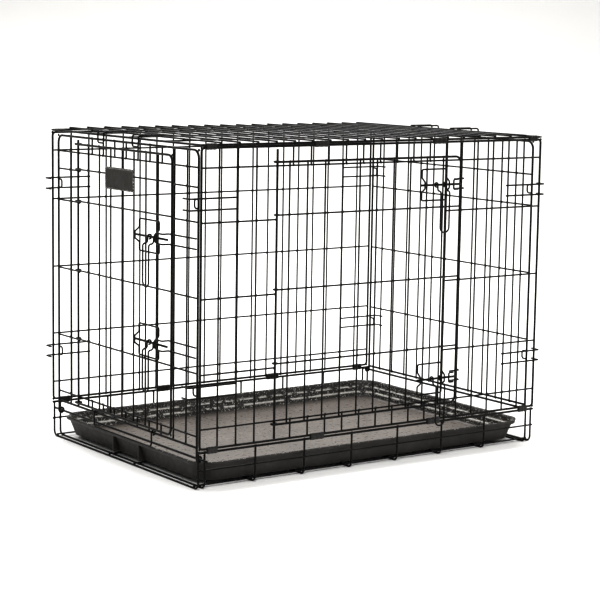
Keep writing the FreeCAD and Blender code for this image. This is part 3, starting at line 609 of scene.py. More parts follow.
def plate_finish(name, colour, painted_glint):
    """Stove enamel with a fine grain. The mesh's 'edge' attribute is 1 on the border, which carries pale flecks of
    painted highlight.
    """
    finish = Finish(name, 0.42)
    border = finish.add("ShaderNodeAttribute", attribute_name="edge")
    cloud = finish.ranged(finish.noise(60, 4.0), "Fac", 0.35, 0.7, 0.0, 1.0)
    tone = finish.blended(cloud, "Result", colour, scaled(colour, 1.5))
    # Painted highlights: pale flecks along the border's bead, standing in for glints of light.
    painted_border_glints = finish.ranged(finish.noise(750, 2.0), "Fac", 0.54, 0.64, 0.0, 0.75)
    tone = finish.blended(finish.times(painted_border_glints, "Result", border, "Fac"), "Value", tone, painted_glint)
    finish.coloured(tone)
    finish.link(finish.ranged(finish.noise(200, 2.0), "Fac", 0.3, 0.7, 0.34, 0.52), "Result", finish.surface,
                "Roughness")
    grain = finish.raised(finish.noise(1400, 2.0), "Fac", 0.3, 0.00018)
    finish.link(grain, "Normal", finish.surface, "Normal")
    return finish.material


FINISHES = {}


def finish_for(slot):
    """The material of one of the record's slots, made once."""
    colours = bpy.context.scene.crate_colours
    if slot not in FINISHES:
        makers = {
            "wire_coating": lambda: wire_finish("satin_wire_coating", colours.wire, colours.wire_worn),
            "clip_coating": lambda: clip_finish("coated_clip_sheet", colours.clip, colours.wire_worn),
            "pan_plastic": lambda: pan_finish("pebbled_pan_plastic", colours.pan, colours.pan_floor_dust_and_sheen,
                                              colours.painted_glint_colour),
            "plate_enamel": lambda: plate_finish("plate_enamel", colours.plate, colours.painted_glint_colour),
        }
        FINISHES[slot] = makers[slot]()
    return FINISHES[slot]


def dress(node, shells, suffix, crease=None):
    """A piece that stands for one CAD node, on the node's body and with the node's slot."""
    slot = SLOT_OF[node]
    return piece(f"{node}_{suffix}", shells, finish_for(slot), BODY_OF[node], (node,), crease)


# ---------------------------------------------------------------- straight wires and welds
def straight_wires(node, sizes):
    """Straight wires of a CAD node, each bowed a little: P(t) = start + t (end - start) + sway sin(pi t) D,
    with D a direction of its own across the wire."""
    chance = np.random.default_rng(zlib.crc32(node.encode()))
    shells = []
    t = np.array((0, 0.2, 0.5, 0.8, 1))[:, None]
    for middle, axis, half, radius in bars(node):
        start = middle.copy()
        end = middle.copy()
        start[axis] -= half
        end[axis] += half
        turn = chance.uniform(0, 2 * np.pi)
        aside = np.insert(np.array((math.cos(turn), math.sin(turn))), axis, 0.0)
        path = start + t * (end - start) + sizes.sway * chance.uniform(0.3, 1) * np.sin(np.pi * t) * aside
        facets = sizes.frame_facets if radius > THICK_WIRE else sizes.mesh_facets
        shells.append(wire(path, radius, facets))
    return shells


def frame_bars(node):
    """The straight runs of a frame wire's box, as bars."""
    low, high = (np.array(corner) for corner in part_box(node))
    width = high - low
    flat = int(np.argmin(width))
    radius = width[flat] / 2 if node.endswith("panel_frame") or node == "lid_frame" else FRAME_RADIUS
    middle = (low + high) / 2
    runs = []
    for along in range(3):
        across = 3 - flat - along
        if along == flat:
            continue
        for end in (low, high):
            place = middle.copy()
            place[across] = end[across] + (radius if end is low else -radius)
            runs.append((place, along, width[along] / 2, radius))
    return runs


def crossings(wires):
    """Places where bars along different axes touch: the third axis parts their middles by no more than their
    radii, and each middle lies within the other's length, both give or take a little play. Gives the place
    and the axis that parts them."""
    places = []
    for one, (centre, axis, half, radius) in enumerate(wires):
        for other_centre, other_axis, other_half, other_radius in wires[one + 1:]:
            if other_axis == axis:
                continue
            apart = 3 - axis - other_axis
            gap = abs(centre[apart] - other_centre[apart])
            if gap > radius + other_radius + TOUCH_PLAY:
                continue
            if abs(centre[axis] - other_centre[axis]) > half + END_PLAY:
                continue
            if abs(centre[other_axis] - other_centre[other_axis]) > other_half + END_PLAY:
                continue
            place = np.empty(3)
            place[axis] = other_centre[axis]
            place[other_axis] = centre[other_axis]
            share = radius / (radius + other_radius)
            place[apart] = centre[apart] + share * (other_centre[apart] - centre[apart])
            places.append((place, apart))
    return places


def welds(name, body, wires, sizes):
    """Spot welds of one welded panel: a flattened nugget where two wires meet, its size a little uneven."""
    chance = np.random.default_rng(zlib.crc32(name.encode()))
    places = crossings(wires)
    centres = [place for place, _ in places]
    reaches = np.full((len(places), 3), sizes.weld_reach)
    for row, (_, apart) in enumerate(places):
        reaches[row, apart] *= 0.62
    reaches *= chance.uniform(0.86, 1.12, (len(places), 1))
    piece(name, [nuggets(centres, reaches)], finish_for("wire_coating"), body)


# ---------------------------------------------------------------- bent wires
def hoop(node, bend, sizes):
    """A frame wire bent into a rectangle."""
    side = side_of(node)
    (low, high), = local_boxes(node)
    radius = (high[2] - low[2]) / 2
    left, foot, _ = low + radius
    right, top, _ = high - radius
    corners = [(left, foot, 0), (right, foot, 0), (right, top, 0), (left, top, 0)]
    line = side.world(bent(corners, bend, closed=True, steps=9))
    return [wire(line, radius, sizes.frame_facets, closed=True)]


def end_hoop(node, joint, sizes):
    """An end panel's frame wire: up, over and down, with an eye round the hinge rail at either foot."""
    side = side_of(node)
    (_, high), = local_boxes(node)
    hinge = hinge_place(joint, side)
    edge = high[0] - FRAME_RADIUS
    top = high[1] - FRAME_RADIUS
    corners = [(-edge, hinge[1], 0), (-edge, top, 0), (edge, top, 0), (edge, hinge[1], 0)]
    line = bent(corners, sizes.end_bend, steps=10)
    eyes = [np.array((place, hinge[1], hinge[2])) for place in (-edge, edge)]
    return [wire(side.world(with_eyes(line, eyes, sizes.eye_turn)), FRAME_RADIUS, sizes.frame_facets)]


def corner_hooks(node, sizes):
    """Hooks that run out past the panel's end and turn in round the end panel."""
    side = side_of(node)
    shells = []
    for low, high in local_boxes(node):
        radius = (high[1] - low[1]) / 2
        layer = high[2] - radius
        level = (low[1] + high[1]) / 2
        outward = 1 if high[0] > 0 else -1
        root, tip = (low[0], high[0] - radius) if outward > 0 else (high[0], low[0] + radius)
        corners = [(root, level, layer), (tip, level, layer), (tip, level, low[2])]
        shells.append(wire(side.world(bent(corners, sizes.hook_bend)), radius, sizes.mesh_facets))
    return shells


def stop_bows(node, sizes):
    """Small bows on an end panel's side wires."""
    side = side_of(node)
    shells = []
    for low, high in local_boxes(node):
        radius = (high[2] - low[2]) / 2
        root, bulge = (low[0], high[0] - radius) if high[0] < 0 else (high[0], low[0] + radius)
        top, foot = high[1] - radius, low[1] + radius
        corners = [(root, top, 0), (bulge, top, 0), (bulge, foot, 0), (root, foot, 0)]
        shells.append(wire(side.world(bent(corners, sizes.staple_bend)), radius, sizes.mesh_facets))
    return shells


def lid_staples(node, sizes):
    """Staples on the lid's short sides that drop down outside the end panels."""
    side = SIDES["lid"]
    shells = []
    for low, high in local_boxes(node):
        outward = 1 if high[0] > 0 else -1
        radius = MESH_RADIUS
        root, reach = (low[0], high[0] - radius) if outward > 0 else (high[0], low[0] + radius)
        one, other = low[1] + radius, high[1] - radius
        layer, foot = high[2] - radius, low[2] + radius
        corners = [(root, one, layer), (reach, one, layer), (reach, one, foot),
                   (reach, other, foot), (reach, other, layer), (root, other, layer)]
        shells.append(wire(side.world(bent(corners, sizes.staple_bend)), radius, sizes.mesh_facets))
    return shells


def door_hoop(node, joint, sizes):
    """A door's frame wire, from an eye on its post round the free edge to another eye."""
    side = side_of(node)
    (low, high), = local_boxes(node)
    hinge = hinge_place(joint, side)
    layer = high[2] - FRAME_RADIUS
    outward = 1 if abs(high[0] - hinge[0]) > abs(low[0] - hinge[0]) else -1
    edge = high[0] - FRAME_RADIUS if outward > 0 else low[0] + FRAME_RADIUS
    foot, top = low[1] + FRAME_RADIUS, high[1] - FRAME_RADIUS
    corners = [(hinge[0], top, layer), (edge, top, layer), (edge, foot, layer), (hinge[0], foot, layer)]
    eyes = [np.array((hinge[0], level, hinge[2])) for level in (top, foot)]
    line = with_eyes(bent(corners, sizes.door_bend, steps=10), eyes, sizes.eye_turn)
    return [wire(side.world(line), FRAME_RADIUS, sizes.frame_facets)]


def door_rails(node, joint, sizes):
    """A door's rails, each with an eye round the post."""
    side = side_of(node)
    hinge = hinge_place(joint, side)
    shells = []
    for low, high in local_boxes(node):
        radius = (high[1] - low[1]) / 2
        level = (low[1] + high[1]) / 2
        layer = high[2] - radius
        outward = 1 if abs(high[0] - hinge[0]) > abs(low[0] - hinge[0]) else -1
        tip = high[0] if outward > 0 else low[0]
        line = np.array([(hinge[0], level, layer), ((hinge[0] + tip) / 2, level, layer), (tip, level, layer)])
        line = with_eyes(line, (np.array((hinge[0], level, hinge[2])), None), sizes.eye_turn)
        shells.append(wire(side.world(line), radius, sizes.mesh_facets))
    return shells


def brackets(node, sizes):
    """Bolt brackets: a wire loop whose two sides bulge out over the rod."""
    side = side_of(node)
    shells = []
    for low, high in local_boxes(node):
        radius = MESH_RADIUS
        left, foot, flat = low + radius
        right, top, proud = high - radius
        middle = (foot + top) / 2
        bump = sizes.bracket_bump
        ease = 2.2 * bump
        rise = [(foot, flat), (middle - ease, flat), (middle - bump, proud), (middle + bump, proud),
                (middle + ease, flat), (top, flat)]
        corners = [(right, *place) for place in rise] + [(left, *place) for place in rise[::-1]]
        line = bent(corners, sizes.bracket_bend, closed=True, steps=6)
        shells.append(wire(side.world(line), radius, sizes.mesh_facets, closed=True))
    return shells


def keepers(node, flat, sizes):
    """Bolt keepers: a wire loop welded to the panel whose end stands out over the bolt's tip."""
    side = side_of(node)
    shells = []
    for low, high in local_boxes(node):
        radius = MESH_RADIUS
        foot, top = low[1] + radius, high[1] - radius
        proud = high[2] - radius
        if node.startswith("front"):
            root, end, sign = high[0], low[0] + radius, -1
        else:
            root, end, sign = low[0], high[0] - radius, 1
        lead = end - sign * flat
        base = low[2] + (0 if node.startswith("front") else radius)
        layer = max(base, FRAME_RADIUS + MESH_RADIUS)
        corners = [(lead, top, layer), (lead, top, proud), (end, top, proud), (end, foot, proud),
                   (lead, foot, proud), (lead, foot, layer)]
        if node.startswith("front"):
            ends = (root - radius, top, base), (root - radius, foot, base)
            corners = ([ends[0], (root - radius, top, layer)] + corners
                       + [(root - radius, foot, layer), ends[1]])
        else:
            corners = [(root, top, layer)] + corners + [(root, foot, layer)]
        shells.append(wire(side.world(bent(corners, sizes.keeper_bend, steps=5)), radius, sizes.mesh_facets))
    return shells


def handle(node, joint, sizes):
    """A bolt's loop handle, hung on the rod by two eyes. Its legs step outwards below the rod."""
    side = side_of(node)
    (low, high), = local_boxes(node)
    rod = hinge_place(joint, side)
    near = 2 * rod[2] - low[2] - MESH_RADIUS
    far = high[2] - MESH_RADIUS
    left, right, foot = low[0] + MESH_RADIUS, high[0] - MESH_RADIUS, low[1] + MESH_RADIUS
    neck = rod[1] - sizes.handle_neck
    leg = [(rod[1], near), (neck, near), (neck, far), (foot, far)]
    corners = [(left, *place) for place in leg] + [(right, *place) for place in leg[::-1]]
    kink, turn = sizes.handle_bend, sizes.handle_foot
    line = bent(corners, (kink, kink, kink, turn, turn, kink, kink, kink), steps=10)
    eyes = [np.array((place, rod[1], rod[2])) for place in (left, right)]
    return [wire(side.world(with_eyes(line, eyes, sizes.eye_turn)), MESH_RADIUS, sizes.mesh_facets)]


def pan_stop_wire(node, joint, sizes):
    """The wire that hangs under the left door, with an eye at either end."""
    side = SIDES["left"]
    (low, high), = local_boxes(node)
    hinge = hinge_place(joint, side)
    radius = MESH_RADIUS
    layer = high[2] - radius
    left, right, foot = low[0] + radius, high[0] - radius, low[1] + radius
    corners = [(left, hinge[1], layer), (left, foot, layer), (right, foot, layer), (right, hinge[1], layer)]
    line = bent(corners, sizes.pan_stop_bend)
    eyes = [np.array((place, hinge[1], hinge[2])) for place in (left, right)]
    return [wire(side.world(with_eyes(line, eyes, sizes.eye_turn)), radius, sizes.mesh_facets)]


def base_crossers(node, sizes):
    """Floor wires bent up at both ends into the base's uprights."""
    shells = []
    for points in solids(node):
        low, high = points.min(axis=0), points.max(axis=0)
        radius = (high[0] - low[0]) / 2
        place = (low[0] + high[0]) / 2
        near, far, floor = low[1] + radius, high[1] - radius, low[2] + radius
        corners = [(place, near, high[2]), (place, near, floor), (place, far, floor), (place, far, high[2])]
        shells.append(wire(bent(corners, sizes.base_bend, steps=9), radius, sizes.frame_facets))
    return shells


# ---------------------------------------------------------------- clips, plate and pan
def clip_sleeves(node):
    """Sheet clips closed round two wires. The sheet's section, a thin box with round edges, is carried
    round a line that goes round both wires and draws in between them; three shallow crimps cross it."""
    side = side_of(node) if not node.startswith("lid") else SIDES["front"]
    shells = []
    for points in solids(node):
        local = side.local(points)
        low, high = local.min(axis=0), local.max(axis=0)
        outer = (high[2] - low[2]) / 2
        middle_n = (high[2] + low[2]) / 2
        span = (high[1] - low[1]) / 2 - outer
        middle_v = (high[1] + low[1]) / 2
        length = high[0] - low[0]
        wall = CLIP_WALL
        count = 40
        angle = np.arange(count) * 2 * np.pi / count
        lobe = np.sign(np.sin(angle)) * span * (np.abs(np.sin(angle)) > 1e-9)
        flat = np.exp(-(np.sin(angle) / 0.32) ** 2)
        reach = outer - wall / 2 - 0.42 * MM * flat
        v = middle_v + lobe * (1 - flat) + reach * np.sin(angle)
        n = middle_n + reach * np.cos(angle)
        out_v, out_n = np.sin(angle) * (1 - 0.6 * flat), np.cos(angle)
        steps = np.linspace(-1, 1, 25)
        crimp = 0.16 * MM * np.cos(3 * np.pi * steps) - 0.1 * MM
        edge = np.array((0.9, 0.45)) * wall / 2
        top = np.stack([steps * (length / 2 - wall * 0.35), wall / 2 + crimp], axis=-1)
        bottom = np.stack([steps[::-1] * (length / 2 - wall * 0.35), -wall / 2 + crimp[::-1]], axis=-1)
        nose = np.array(((length / 2, crimp[-1] + edge[1]), (length / 2, crimp[-1] - edge[1])))
        tail = nose[::-1] * (-1, 1)
        section = np.vstack([top, nose, bottom, tail])
        place_u = (low[0] + high[0]) / 2 + section[:, 0]
        places = np.stack([np.broadcast_to(place_u[:, None], (len(section), count)),
                           v[None] + section[:, 1][:, None] * out_v[None],
                           n[None] + section[:, 1][:, None] * out_n[None]], axis=-1)
        quads = grid_faces(len(section), count, wrap_rows=True)
        shells.append((side.world(places.reshape(-1, 3)), quads, np.empty((0, 3), int)))
    return shells


def outline(half_long, half_wide, cut, bend, spread):
    """A rectangle with its corners cut off and the eight corners rounded, with its points spread evenly, at
    equal steps of the length along the line."""
    corners = [(half_long, -half_wide + cut), (half_long, half_wide - cut), (half_long - cut, half_wide),
               (-half_long + cut, half_wide), (-half_long, half_wide - cut), (-half_long, -half_wide + cut),
               (-half_long + cut, -half_wide), (half_long - cut, -half_wide)]
    line = bent([(x, y, 0) for x, y in corners], bend, closed=True, steps=7)[:, :2]
    line = np.vstack([line, line[:1]])
    run = np.concatenate([[0], np.cumsum(np.linalg.norm(np.diff(line, axis=0), axis=1))])
    s = np.arange(spread) / spread * run[-1]
    return np.stack([np.interp(s, run, line[:, 0]), np.interp(s, run, line[:, 1])], axis=-1)


def dish(profile, half_long, half_wide, cut, bend, spread, ripple):
    """A profile carried round an outline, closed by a pole at either end. A profile point (d, z, w) gives
    the outline drawn in by d at height z, rippled by w ripple(k) where k counts the outline's points. A cut
    gets shorter by (1 - sqrt(1/2)) d, half of what an even offset takes off it, so the cut corners draw in
    about 1.2 times as far as the sides."""
    rows = []
    for inward, height, wave in profile:
        ring = outline(half_long - inward, half_wide - inward, cut - (2 - math.sqrt(2)) * inward * 0.5,
                       max(bend - 0.4 * inward, 0.3 * bend), spread)
        outward = unit(np.roll(ring, -1, axis=0) - np.roll(ring, 1, axis=0)) @ np.array(((0, -1), (1, 0)))
        ring = ring + outward * (wave * ripple)[:, None]
        rows.append(np.column_stack([ring, np.full(spread, height)]))
    return rows


def filled(rows, shares, height):
    """Rings that draw in to the middle: P = share ring, at one height."""
    last = rows[-1].copy()
    last[:, 2] = height
    return [last * (share, share, 1) for share in shares]


def shell_of(rows, start_pole, end_pole):
    """Rows of points as one closed shell with a pole at either end."""
    columns = len(rows[0])
    points = np.vstack(rows + [start_pole, end_pole])
    quads = grid_faces(len(rows), columns)
    last = (len(rows) - 1) * columns
    triangles = np.vstack([cap_faces(0, len(points) - 2, columns, True),
                           cap_faces(last, len(points) - 1, columns, False)])
    return points, quads, triangles


def name_attribute(shown, name, values):
    """A value at each corner of a piece, for its material."""
    layer = shown.data.attributes.new(name, "FLOAT", "POINT")
    layer.data.foreach_set("value", np.asarray(values, np.float32))


def pan_shell():
    """The moulded pan from its underside to its floor: wall, rolled lip, pebbled rim, two fluted ledges and
    floor. Points are (drawn in from the lip, height above the floor, fluting) in millimetres."""
    low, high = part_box("pan")
    half_long, half_wide = (high.x - low.x) / 2, (high.y - low.y) / 2
    foot, top = low.z / MM, high.z / MM
    floor = foot + 2.4
    profile = [
        (16.0, foot + 0.5, 0), (13.6, foot + 0.1, 0), (12.6, foot + 0.9, 0), (11.8, foot + 3.0, 0),
        (8.6, foot + 13.0, 0), (5.4, foot + 22.0, 0), (3.6, top - 5.4, 0), (2.9, top - 4.0, 0),
        (2.0, top - 4.9, 0), (0.9, top - 5.0, 0), (0.25, top - 4.2, 0), (0.0, top - 2.6, 0),
        (0.25, top - 1.2, 0), (1.0, top - 0.35, 0), (2.2, top, 0), (3.6, top - 0.15, 0),
        (5.0, top - 0.9, 0.1), (6.1, top - 2.2, 0.15), (6.9, top - 4.2, 0.2), (7.6, top - 7.4, 0.25),
        (8.2, top - 9.6, 0.3), (9.0, top - 10.4, 0.45), (10.6, top - 10.8, 0.6), (11.3, top - 11.6, 0.5),
        (11.8, top - 13.6, 0.3), (12.4, top - 16.8, 0.3), (13.1, top - 18.0, 0.45), (14.6, top - 18.5, 0.6),
        (15.4, top - 19.3, 0.5), (15.9, top - 21.4, 0.2), (16.6, floor + 3.0, 0), (17.8, floor + 1.0, 0),
        (19.8, floor + 0.15, 0), (23.0, floor, 0)]
    spread = 1120
    flutes = np.cos(np.arange(spread) * np.pi / 2) * MM
    rows = dish([(d * MM, z * MM, w) for d, z, w in profile], half_long, half_wide, PAN_CUT, PAN_BEND,
                spread, flutes)
    under = filled(rows[:1], (0.12, 0.5, 0.97), (foot + 0.5) * MM)
    over = filled(rows, (0.97, 0.7, 0.4, 0.12), floor * MM)
    centre = np.array(((low.x + high.x) / 2, (low.y + high.y) / 2, 0))
    every = [row + centre for row in under + rows + over]
    shell = shell_of(every, centre + (0, 0, (foot + 0.5) * MM), centre + (0, 0, floor * MM))
    # 'pebble' masks the rim's bumps and its painted highlight flecks, 'smooth' the floor's gloss, dust and painted
    # sheen, and 'ledge' the painted highlight dashes.
    shares = np.zeros((3, len(profile)))
    pebble, smooth, ledge = shares
    pebble[PAN_RIM] = 1.0
    pebble[PAN_RIM_TOP] = 0.75
    smooth[PAN_FLOOR] = PAN_FLOOR_SHARES
    ledge[PAN_LEDGES] = PAN_LEDGE_SHARES
    # Each value goes to every point of its row: none under the pan, and the floor's own over the floor.
    return (shell, *(np.concatenate([np.zeros(len(under) * spread), np.repeat(share, spread),
                                     np.full(len(over) * spread, inside), (0, inside)])
                     for share, inside in zip(shares, (0.0, 1.0, 0.0))))


def gusset(place_y):
    """A moulded gusset between the pan's lip and its end wall: a rounded five-sided outline in x and z,
    carried from one face to the other across y and drawn in by a rim's width at each face."""
    low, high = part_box("pan")
    corners = np.array([(0.8, -4.2), (0.8, -26.2), (2.8, -28.6), (12.0, -28.6), (4.6, -4.2)]) * MM
    flat = np.column_stack([corners + (low.x, high.z), np.zeros(5)])
    line = bent(flat, 0.6 * MM, closed=True, steps=5)[:, :2]
    centre = line.mean(axis=0)
    rows = []
    for aside, share in ((-1.0, 0.5), (-1.0, 0.93), (-0.7, 1.0), (0.7, 1.0), (1.0, 0.93), (1.0, 0.5)):
        ring = centre + share * (line - centre)
        rows.append(np.column_stack([ring[:, 0], np.full(len(ring), place_y + aside * MM), ring[:, 1]]))
    poles = [np.array((centre[0], place_y + aside * MM, centre[1])) for aside in (-1.0, 1.0)]
    return shell_of(rows, *poles)


def plate_shell():
    """The name plate: a thin slab with round corners, a beaded border and a slightly sunk face."""
    low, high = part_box("name_plate")
    side = SIDES["left"]
    inner, outer = sorted((side.local(low)[2], side.local(high)[2]))
    half_long, half_tall = (high.y - low.y) / 2, (high.z - low.z) / 2
    thick = outer - inner
    profile = [(1.2, 0.0, 0), (0.35, 0.06, 0), (0.0, 0.3, 0), (0.0, 0.7, 0), (0.3, 0.93, 0), (0.9, 1.0, 0),
               (1.6, 0.96, 0), (2.2, 0.78, 0), (3.0, 0.72, 0)]
    spread = 160
    rows = dish([(d * MM, z, w) for d, z, w in profile], half_long, half_tall, 1.8 * MM, 1.5 * MM, spread,
                np.zeros(spread))
    under = filled(rows[:1], (0.05, 0.95), 0.0)
    over = filled(rows, (0.93, 0.5, 0.05), 0.72)
    every = under + rows + over
    poles = [np.array((0, 0, 0.0)), np.array((0, 0, 0.72))]
    points, quads, triangles = shell_of(every, *poles)
    middle_u, middle_v = (low.y + high.y) / 2, (low.z + high.z) / 2
    places = np.column_stack([points[:, 0] + middle_u, points[:, 1] + middle_v, inner + points[:, 2] * thick])
    edge = np.concatenate([np.zeros(2 * spread), np.repeat((0, 1, 1, 1, 1, 1, 1, 0.6, 0), spread),
                           np.zeros(3 * spread), (0, 0)])
    # Where (u, v, n) is left-handed, as on the left end, the faces turn round.
    handed = np.linalg.det(side.axes) > 0
    return (side.world(places), quads if handed else quads[:, ::-1],
            triangles if handed else triangles[:, ::-1]), edge


# ---------------------------------------------------------------- operators
class CrateOperator:
    """What every maker of pieces shares"""

    bl_options = {"REGISTER", "UNDO"}


class CRATE_OT_panels(CrateOperator, bpy.types.Operator):
    """Frame wires, uprights, rails and welds of the front, back and end panels"""

    bl_idname = "crate.panels"
    bl_label = "Panels"

    def execute(self, context):
        sizes = context.scene.crate_sizes
        for word in ("front", "back"):
            dress(f"{word}_panel_frame", hoop(f"{word}_panel_frame", sizes.side_bend, sizes), "wire")
            for kind in ("uprights", "rails"):
                dress(f"{word}_panel_{kind}", straight_wires(f"{word}_panel_{kind}", sizes), "wires")
            mesh = (bars(f"{word}_panel_uprights") + bars(f"{word}_panel_rails")
                    + frame_bars(f"{word}_panel_frame"))
            if word == "front":
                mesh += bars("front_door_post")
            welds(f"{word}_panel_welds", f"{word}_panel", mesh, sizes)
        for word in ("left", "right"):
            dress(f"{word}_end_frame", end_hoop(f"{word}_end_frame", f"{word}_end_fold", sizes), "wire")
            for kind in ("bottom_wire", "uprights", "rails"):
                dress(f"{word}_end_{kind}", straight_wires(f"{word}_end_{kind}", sizes), "run")
            mesh = bars(f"{word}_end_uprights") + bars(f"{word}_end_rails") + bars(f"{word}_end_bottom_wire")
            if word == "left":
                mesh += bars("left_door_post")
            (low, high), = local_boxes(f"{word}_end_frame")
            side = SIDES[word]
            top = side.world((0, high[1] - FRAME_RADIUS, 0))
            mesh.append((top, 1, high[0], FRAME_RADIUS))
            for edge in (-1, 1):
                upright = side.world((edge * (high[0] - FRAME_RADIUS), (low[1] + high[1]) / 2, 0))
                mesh.append((upright, 2, (high[1] - low[1]) / 2, FRAME_RADIUS))
            welds(f"{word}_end_welds", f"{word}_end", mesh, sizes)
        for word in ("front_door_post", "left_door_post"):
            dress(word, straight_wires(word, sizes), "wire")
        return {"FINISHED"}


class CRATE_OT_hooks(CrateOperator, bpy.types.Operator):
    """Corner hooks of the side panels, stops of the end panels and staples of the lid"""

    bl_idname = "crate.hooks"
    bl_label = "Hooks"

    def execute(self, context):
        sizes = context.scene.crate_sizes
        for node in ("front_corner_hooks", "back_corner_hooks"):
            dress(node, corner_hooks(node, sizes), "bent")
        for node in ("left_end_stops", "right_end_stops"):
            dress(node, stop_bows(node, sizes), "bent")
        dress("lid_end_hooks", lid_staples("lid_end_hooks", sizes), "bent")
        return {"FINISHED"}


class CRATE_OT_lid(CrateOperator, bpy.types.Operator):
    """Frame wire, cross wires, long wires and welds of the lid"""

    bl_idname = "crate.lid"
    bl_label = "Lid"

    def execute(self, context):
        sizes = context.scene.crate_sizes
        dress("lid_frame", hoop("lid_frame", sizes.side_bend, sizes), "wire")
        for node in ("lid_cross_wires", "lid_long_wires"):
            dress(node, straight_wires(node, sizes), "run")
        mesh = bars("lid_cross_wires") + bars("lid_long_wires") + frame_bars("lid_frame")
        welds("lid_welds", "lid", mesh, sizes)
        return {"FINISHED"}


class CRATE_OT_doors(CrateOperator, bpy.types.Operator):
    """Frame wires, uprights, rails, brackets and welds of both doors"""

    bl_idname = "crate.doors"
    bl_label = "Doors"

    def execute(self, context):
        sizes = context.scene.crate_sizes
        for word in ("front", "left"):
            joint = f"{word}_door_swing"
            side = SIDES[word]
            dress(f"{word}_door_frame", door_hoop(f"{word}_door_frame", joint, sizes), "wire")
            dress(f"{word}_door_uprights", straight_wires(f"{word}_door_uprights", sizes), "run")
            dress(f"{word}_door_rails", door_rails(f"{word}_door_rails", joint, sizes), "wires")
            dress(f"{word}_bolt_brackets", brackets(f"{word}_bolt_brackets", sizes), "bent")
            mesh = bars(f"{word}_door_uprights")
            axis = int(np.argmax(np.abs(side.axes[0])))
            hinge = hinge_place(joint, side)
            for low, high in local_boxes(f"{word}_door_rails"):
                radius = (high[1] - low[1]) / 2
                middle = side.world(((low[0] + high[0]) / 2, (low[1] + high[1]) / 2, high[2] - radius))
                mesh.append((middle, axis, (high[0] - low[0]) / 2, radius))
            (low, high), = local_boxes(f"{word}_door_frame")
            layer = high[2] - FRAME_RADIUS
            for level in (low[1] + FRAME_RADIUS, high[1] - FRAME_RADIUS):
                mesh.append((side.world(((low[0] + high[0]) / 2, level, layer)), axis, (high[0] - low[0]) / 2,
                             FRAME_RADIUS))
            edge = max((low[0] + FRAME_RADIUS, high[0] - FRAME_RADIUS), key=lambda u: abs(u - hinge[0]))
            mesh.append((side.world((edge, (low[1] + high[1]) / 2, layer)), 2, (high[1] - low[1]) / 2,
                         FRAME_RADIUS))
            welds(f"{word}_door_welds", f"{word}_door", mesh, sizes)
        return {"FINISHED"}


class CRATE_OT_bolts(CrateOperator, bpy.types.Operator):
    """Rods, loop handles and keepers of the four slide bolts"""

    bl_idname = "crate.bolts"
    bl_label = "Slide bolts"

    def execute(self, context):
        sizes = context.scene.crate_sizes
        for word, flat in (("front", sizes.keeper_flat), ("left", sizes.left_keeper_flat)):
            dress(f"{word}_bolt_keepers", keepers(f"{word}_bolt_keepers", flat, sizes), "bent")
            for level in ("upper", "lower"):
                rod, loop = f"{word}_{level}_bolt_rod", f"{word}_{level}_bolt_handle"
                dress(rod, straight_wires(rod, sizes), "wire")
                dress(loop, handle(loop, f"{word}_{level}_handle_lift", sizes), "bent")
        return {"FINISHED"}


class CRATE_OT_base(CrateOperator, bpy.types.Operator):
    """Cross wires, floor wires, rails, hinge rails and welds of the base"""

    bl_idname = "crate.base"
    bl_label = "Base"

    def execute(self, context):
        sizes = context.scene.crate_sizes
        mesh = []
        for node in ("base_cross_wires", "base_end_wires"):
            dress(node, base_crossers(node, sizes), "bent")
            for points in solids(node):
                low, high = points.min(axis=0), points.max(axis=0)
                radius = (high[0] - low[0]) / 2
                place = (low[0] + high[0]) / 2
                mesh.append((np.array((place, 0, low[2] + radius)), 1, high[1] - sizes.base_bend, radius))
                for edge in (low[1] + radius, high[1] - radius):
                    upright = np.array((place, edge, (low[2] + high[2]) / 2))
                    mesh.append((upright, 2, (high[2] - low[2]) / 2, radius))
        nodes = ["base_floor_wires", "left_hinge_rail", "right_hinge_rail"]
        nodes += [f"base_{word}_{level}_rail" for word in ("front", "back") for level in ("top", "middle")]
        for node in nodes:
            dress(node, straight_wires(node, sizes), "run")
            mesh += bars(node)
        welds("base_welds", "base", mesh, sizes)
        return {"FINISHED"}


class CRATE_OT_clips(CrateOperator, bpy.types.Operator):
    """Sheet clips that hold the side panels to the base and the lid to the front panel"""

    bl_idname = "crate.clips"
    bl_label = "Clips"

    def execute(self, context):
        for node in ("front_base_clips", "back_base_clips", "lid_clips"):
            dress(node, clip_sleeves(node), "sheet")
        return {"FINISHED"}


class CRATE_OT_pan(CrateOperator, bpy.types.Operator):
    """The moulded pan with its ribs, and the wire that stops it"""

    bl_idname = "crate.pan"
    bl_label = "Pan"

    def execute(self, context):
        sizes = context.scene.crate_sizes
        shell, pebble, smooth, ledge = pan_shell()
        shown = dress("pan", [shell], "tray")
        for name, values in (("pebble", pebble), ("smooth_floor", smooth), ("ledge", ledge)):
            name_attribute(shown, name, values)
        gussets = [gusset(place) for place in (-GUSSET_ASIDE, GUSSET_ASIDE)]
        piece("pan_gussets", gussets, finish_for("pan_plastic"), "pan",
              crease=math.radians(40))
        dress("pan_stop", pan_stop_wire("pan_stop", "pan_stop_flip", sizes), "bent")
        return {"FINISHED"}


class CRATE_OT_plate(CrateOperator, bpy.types.Operator):
    """The blank name plate on the left door"""

    bl_idname = "crate.plate"
    bl_label = "Name plate"

    def execute(self, context):
        shell, edge = plate_shell()
        shown = dress("name_plate", [shell], "enamelled", crease=math.radians(50))
        name_attribute(shown, "edge", edge)
        return {"FINISHED"}


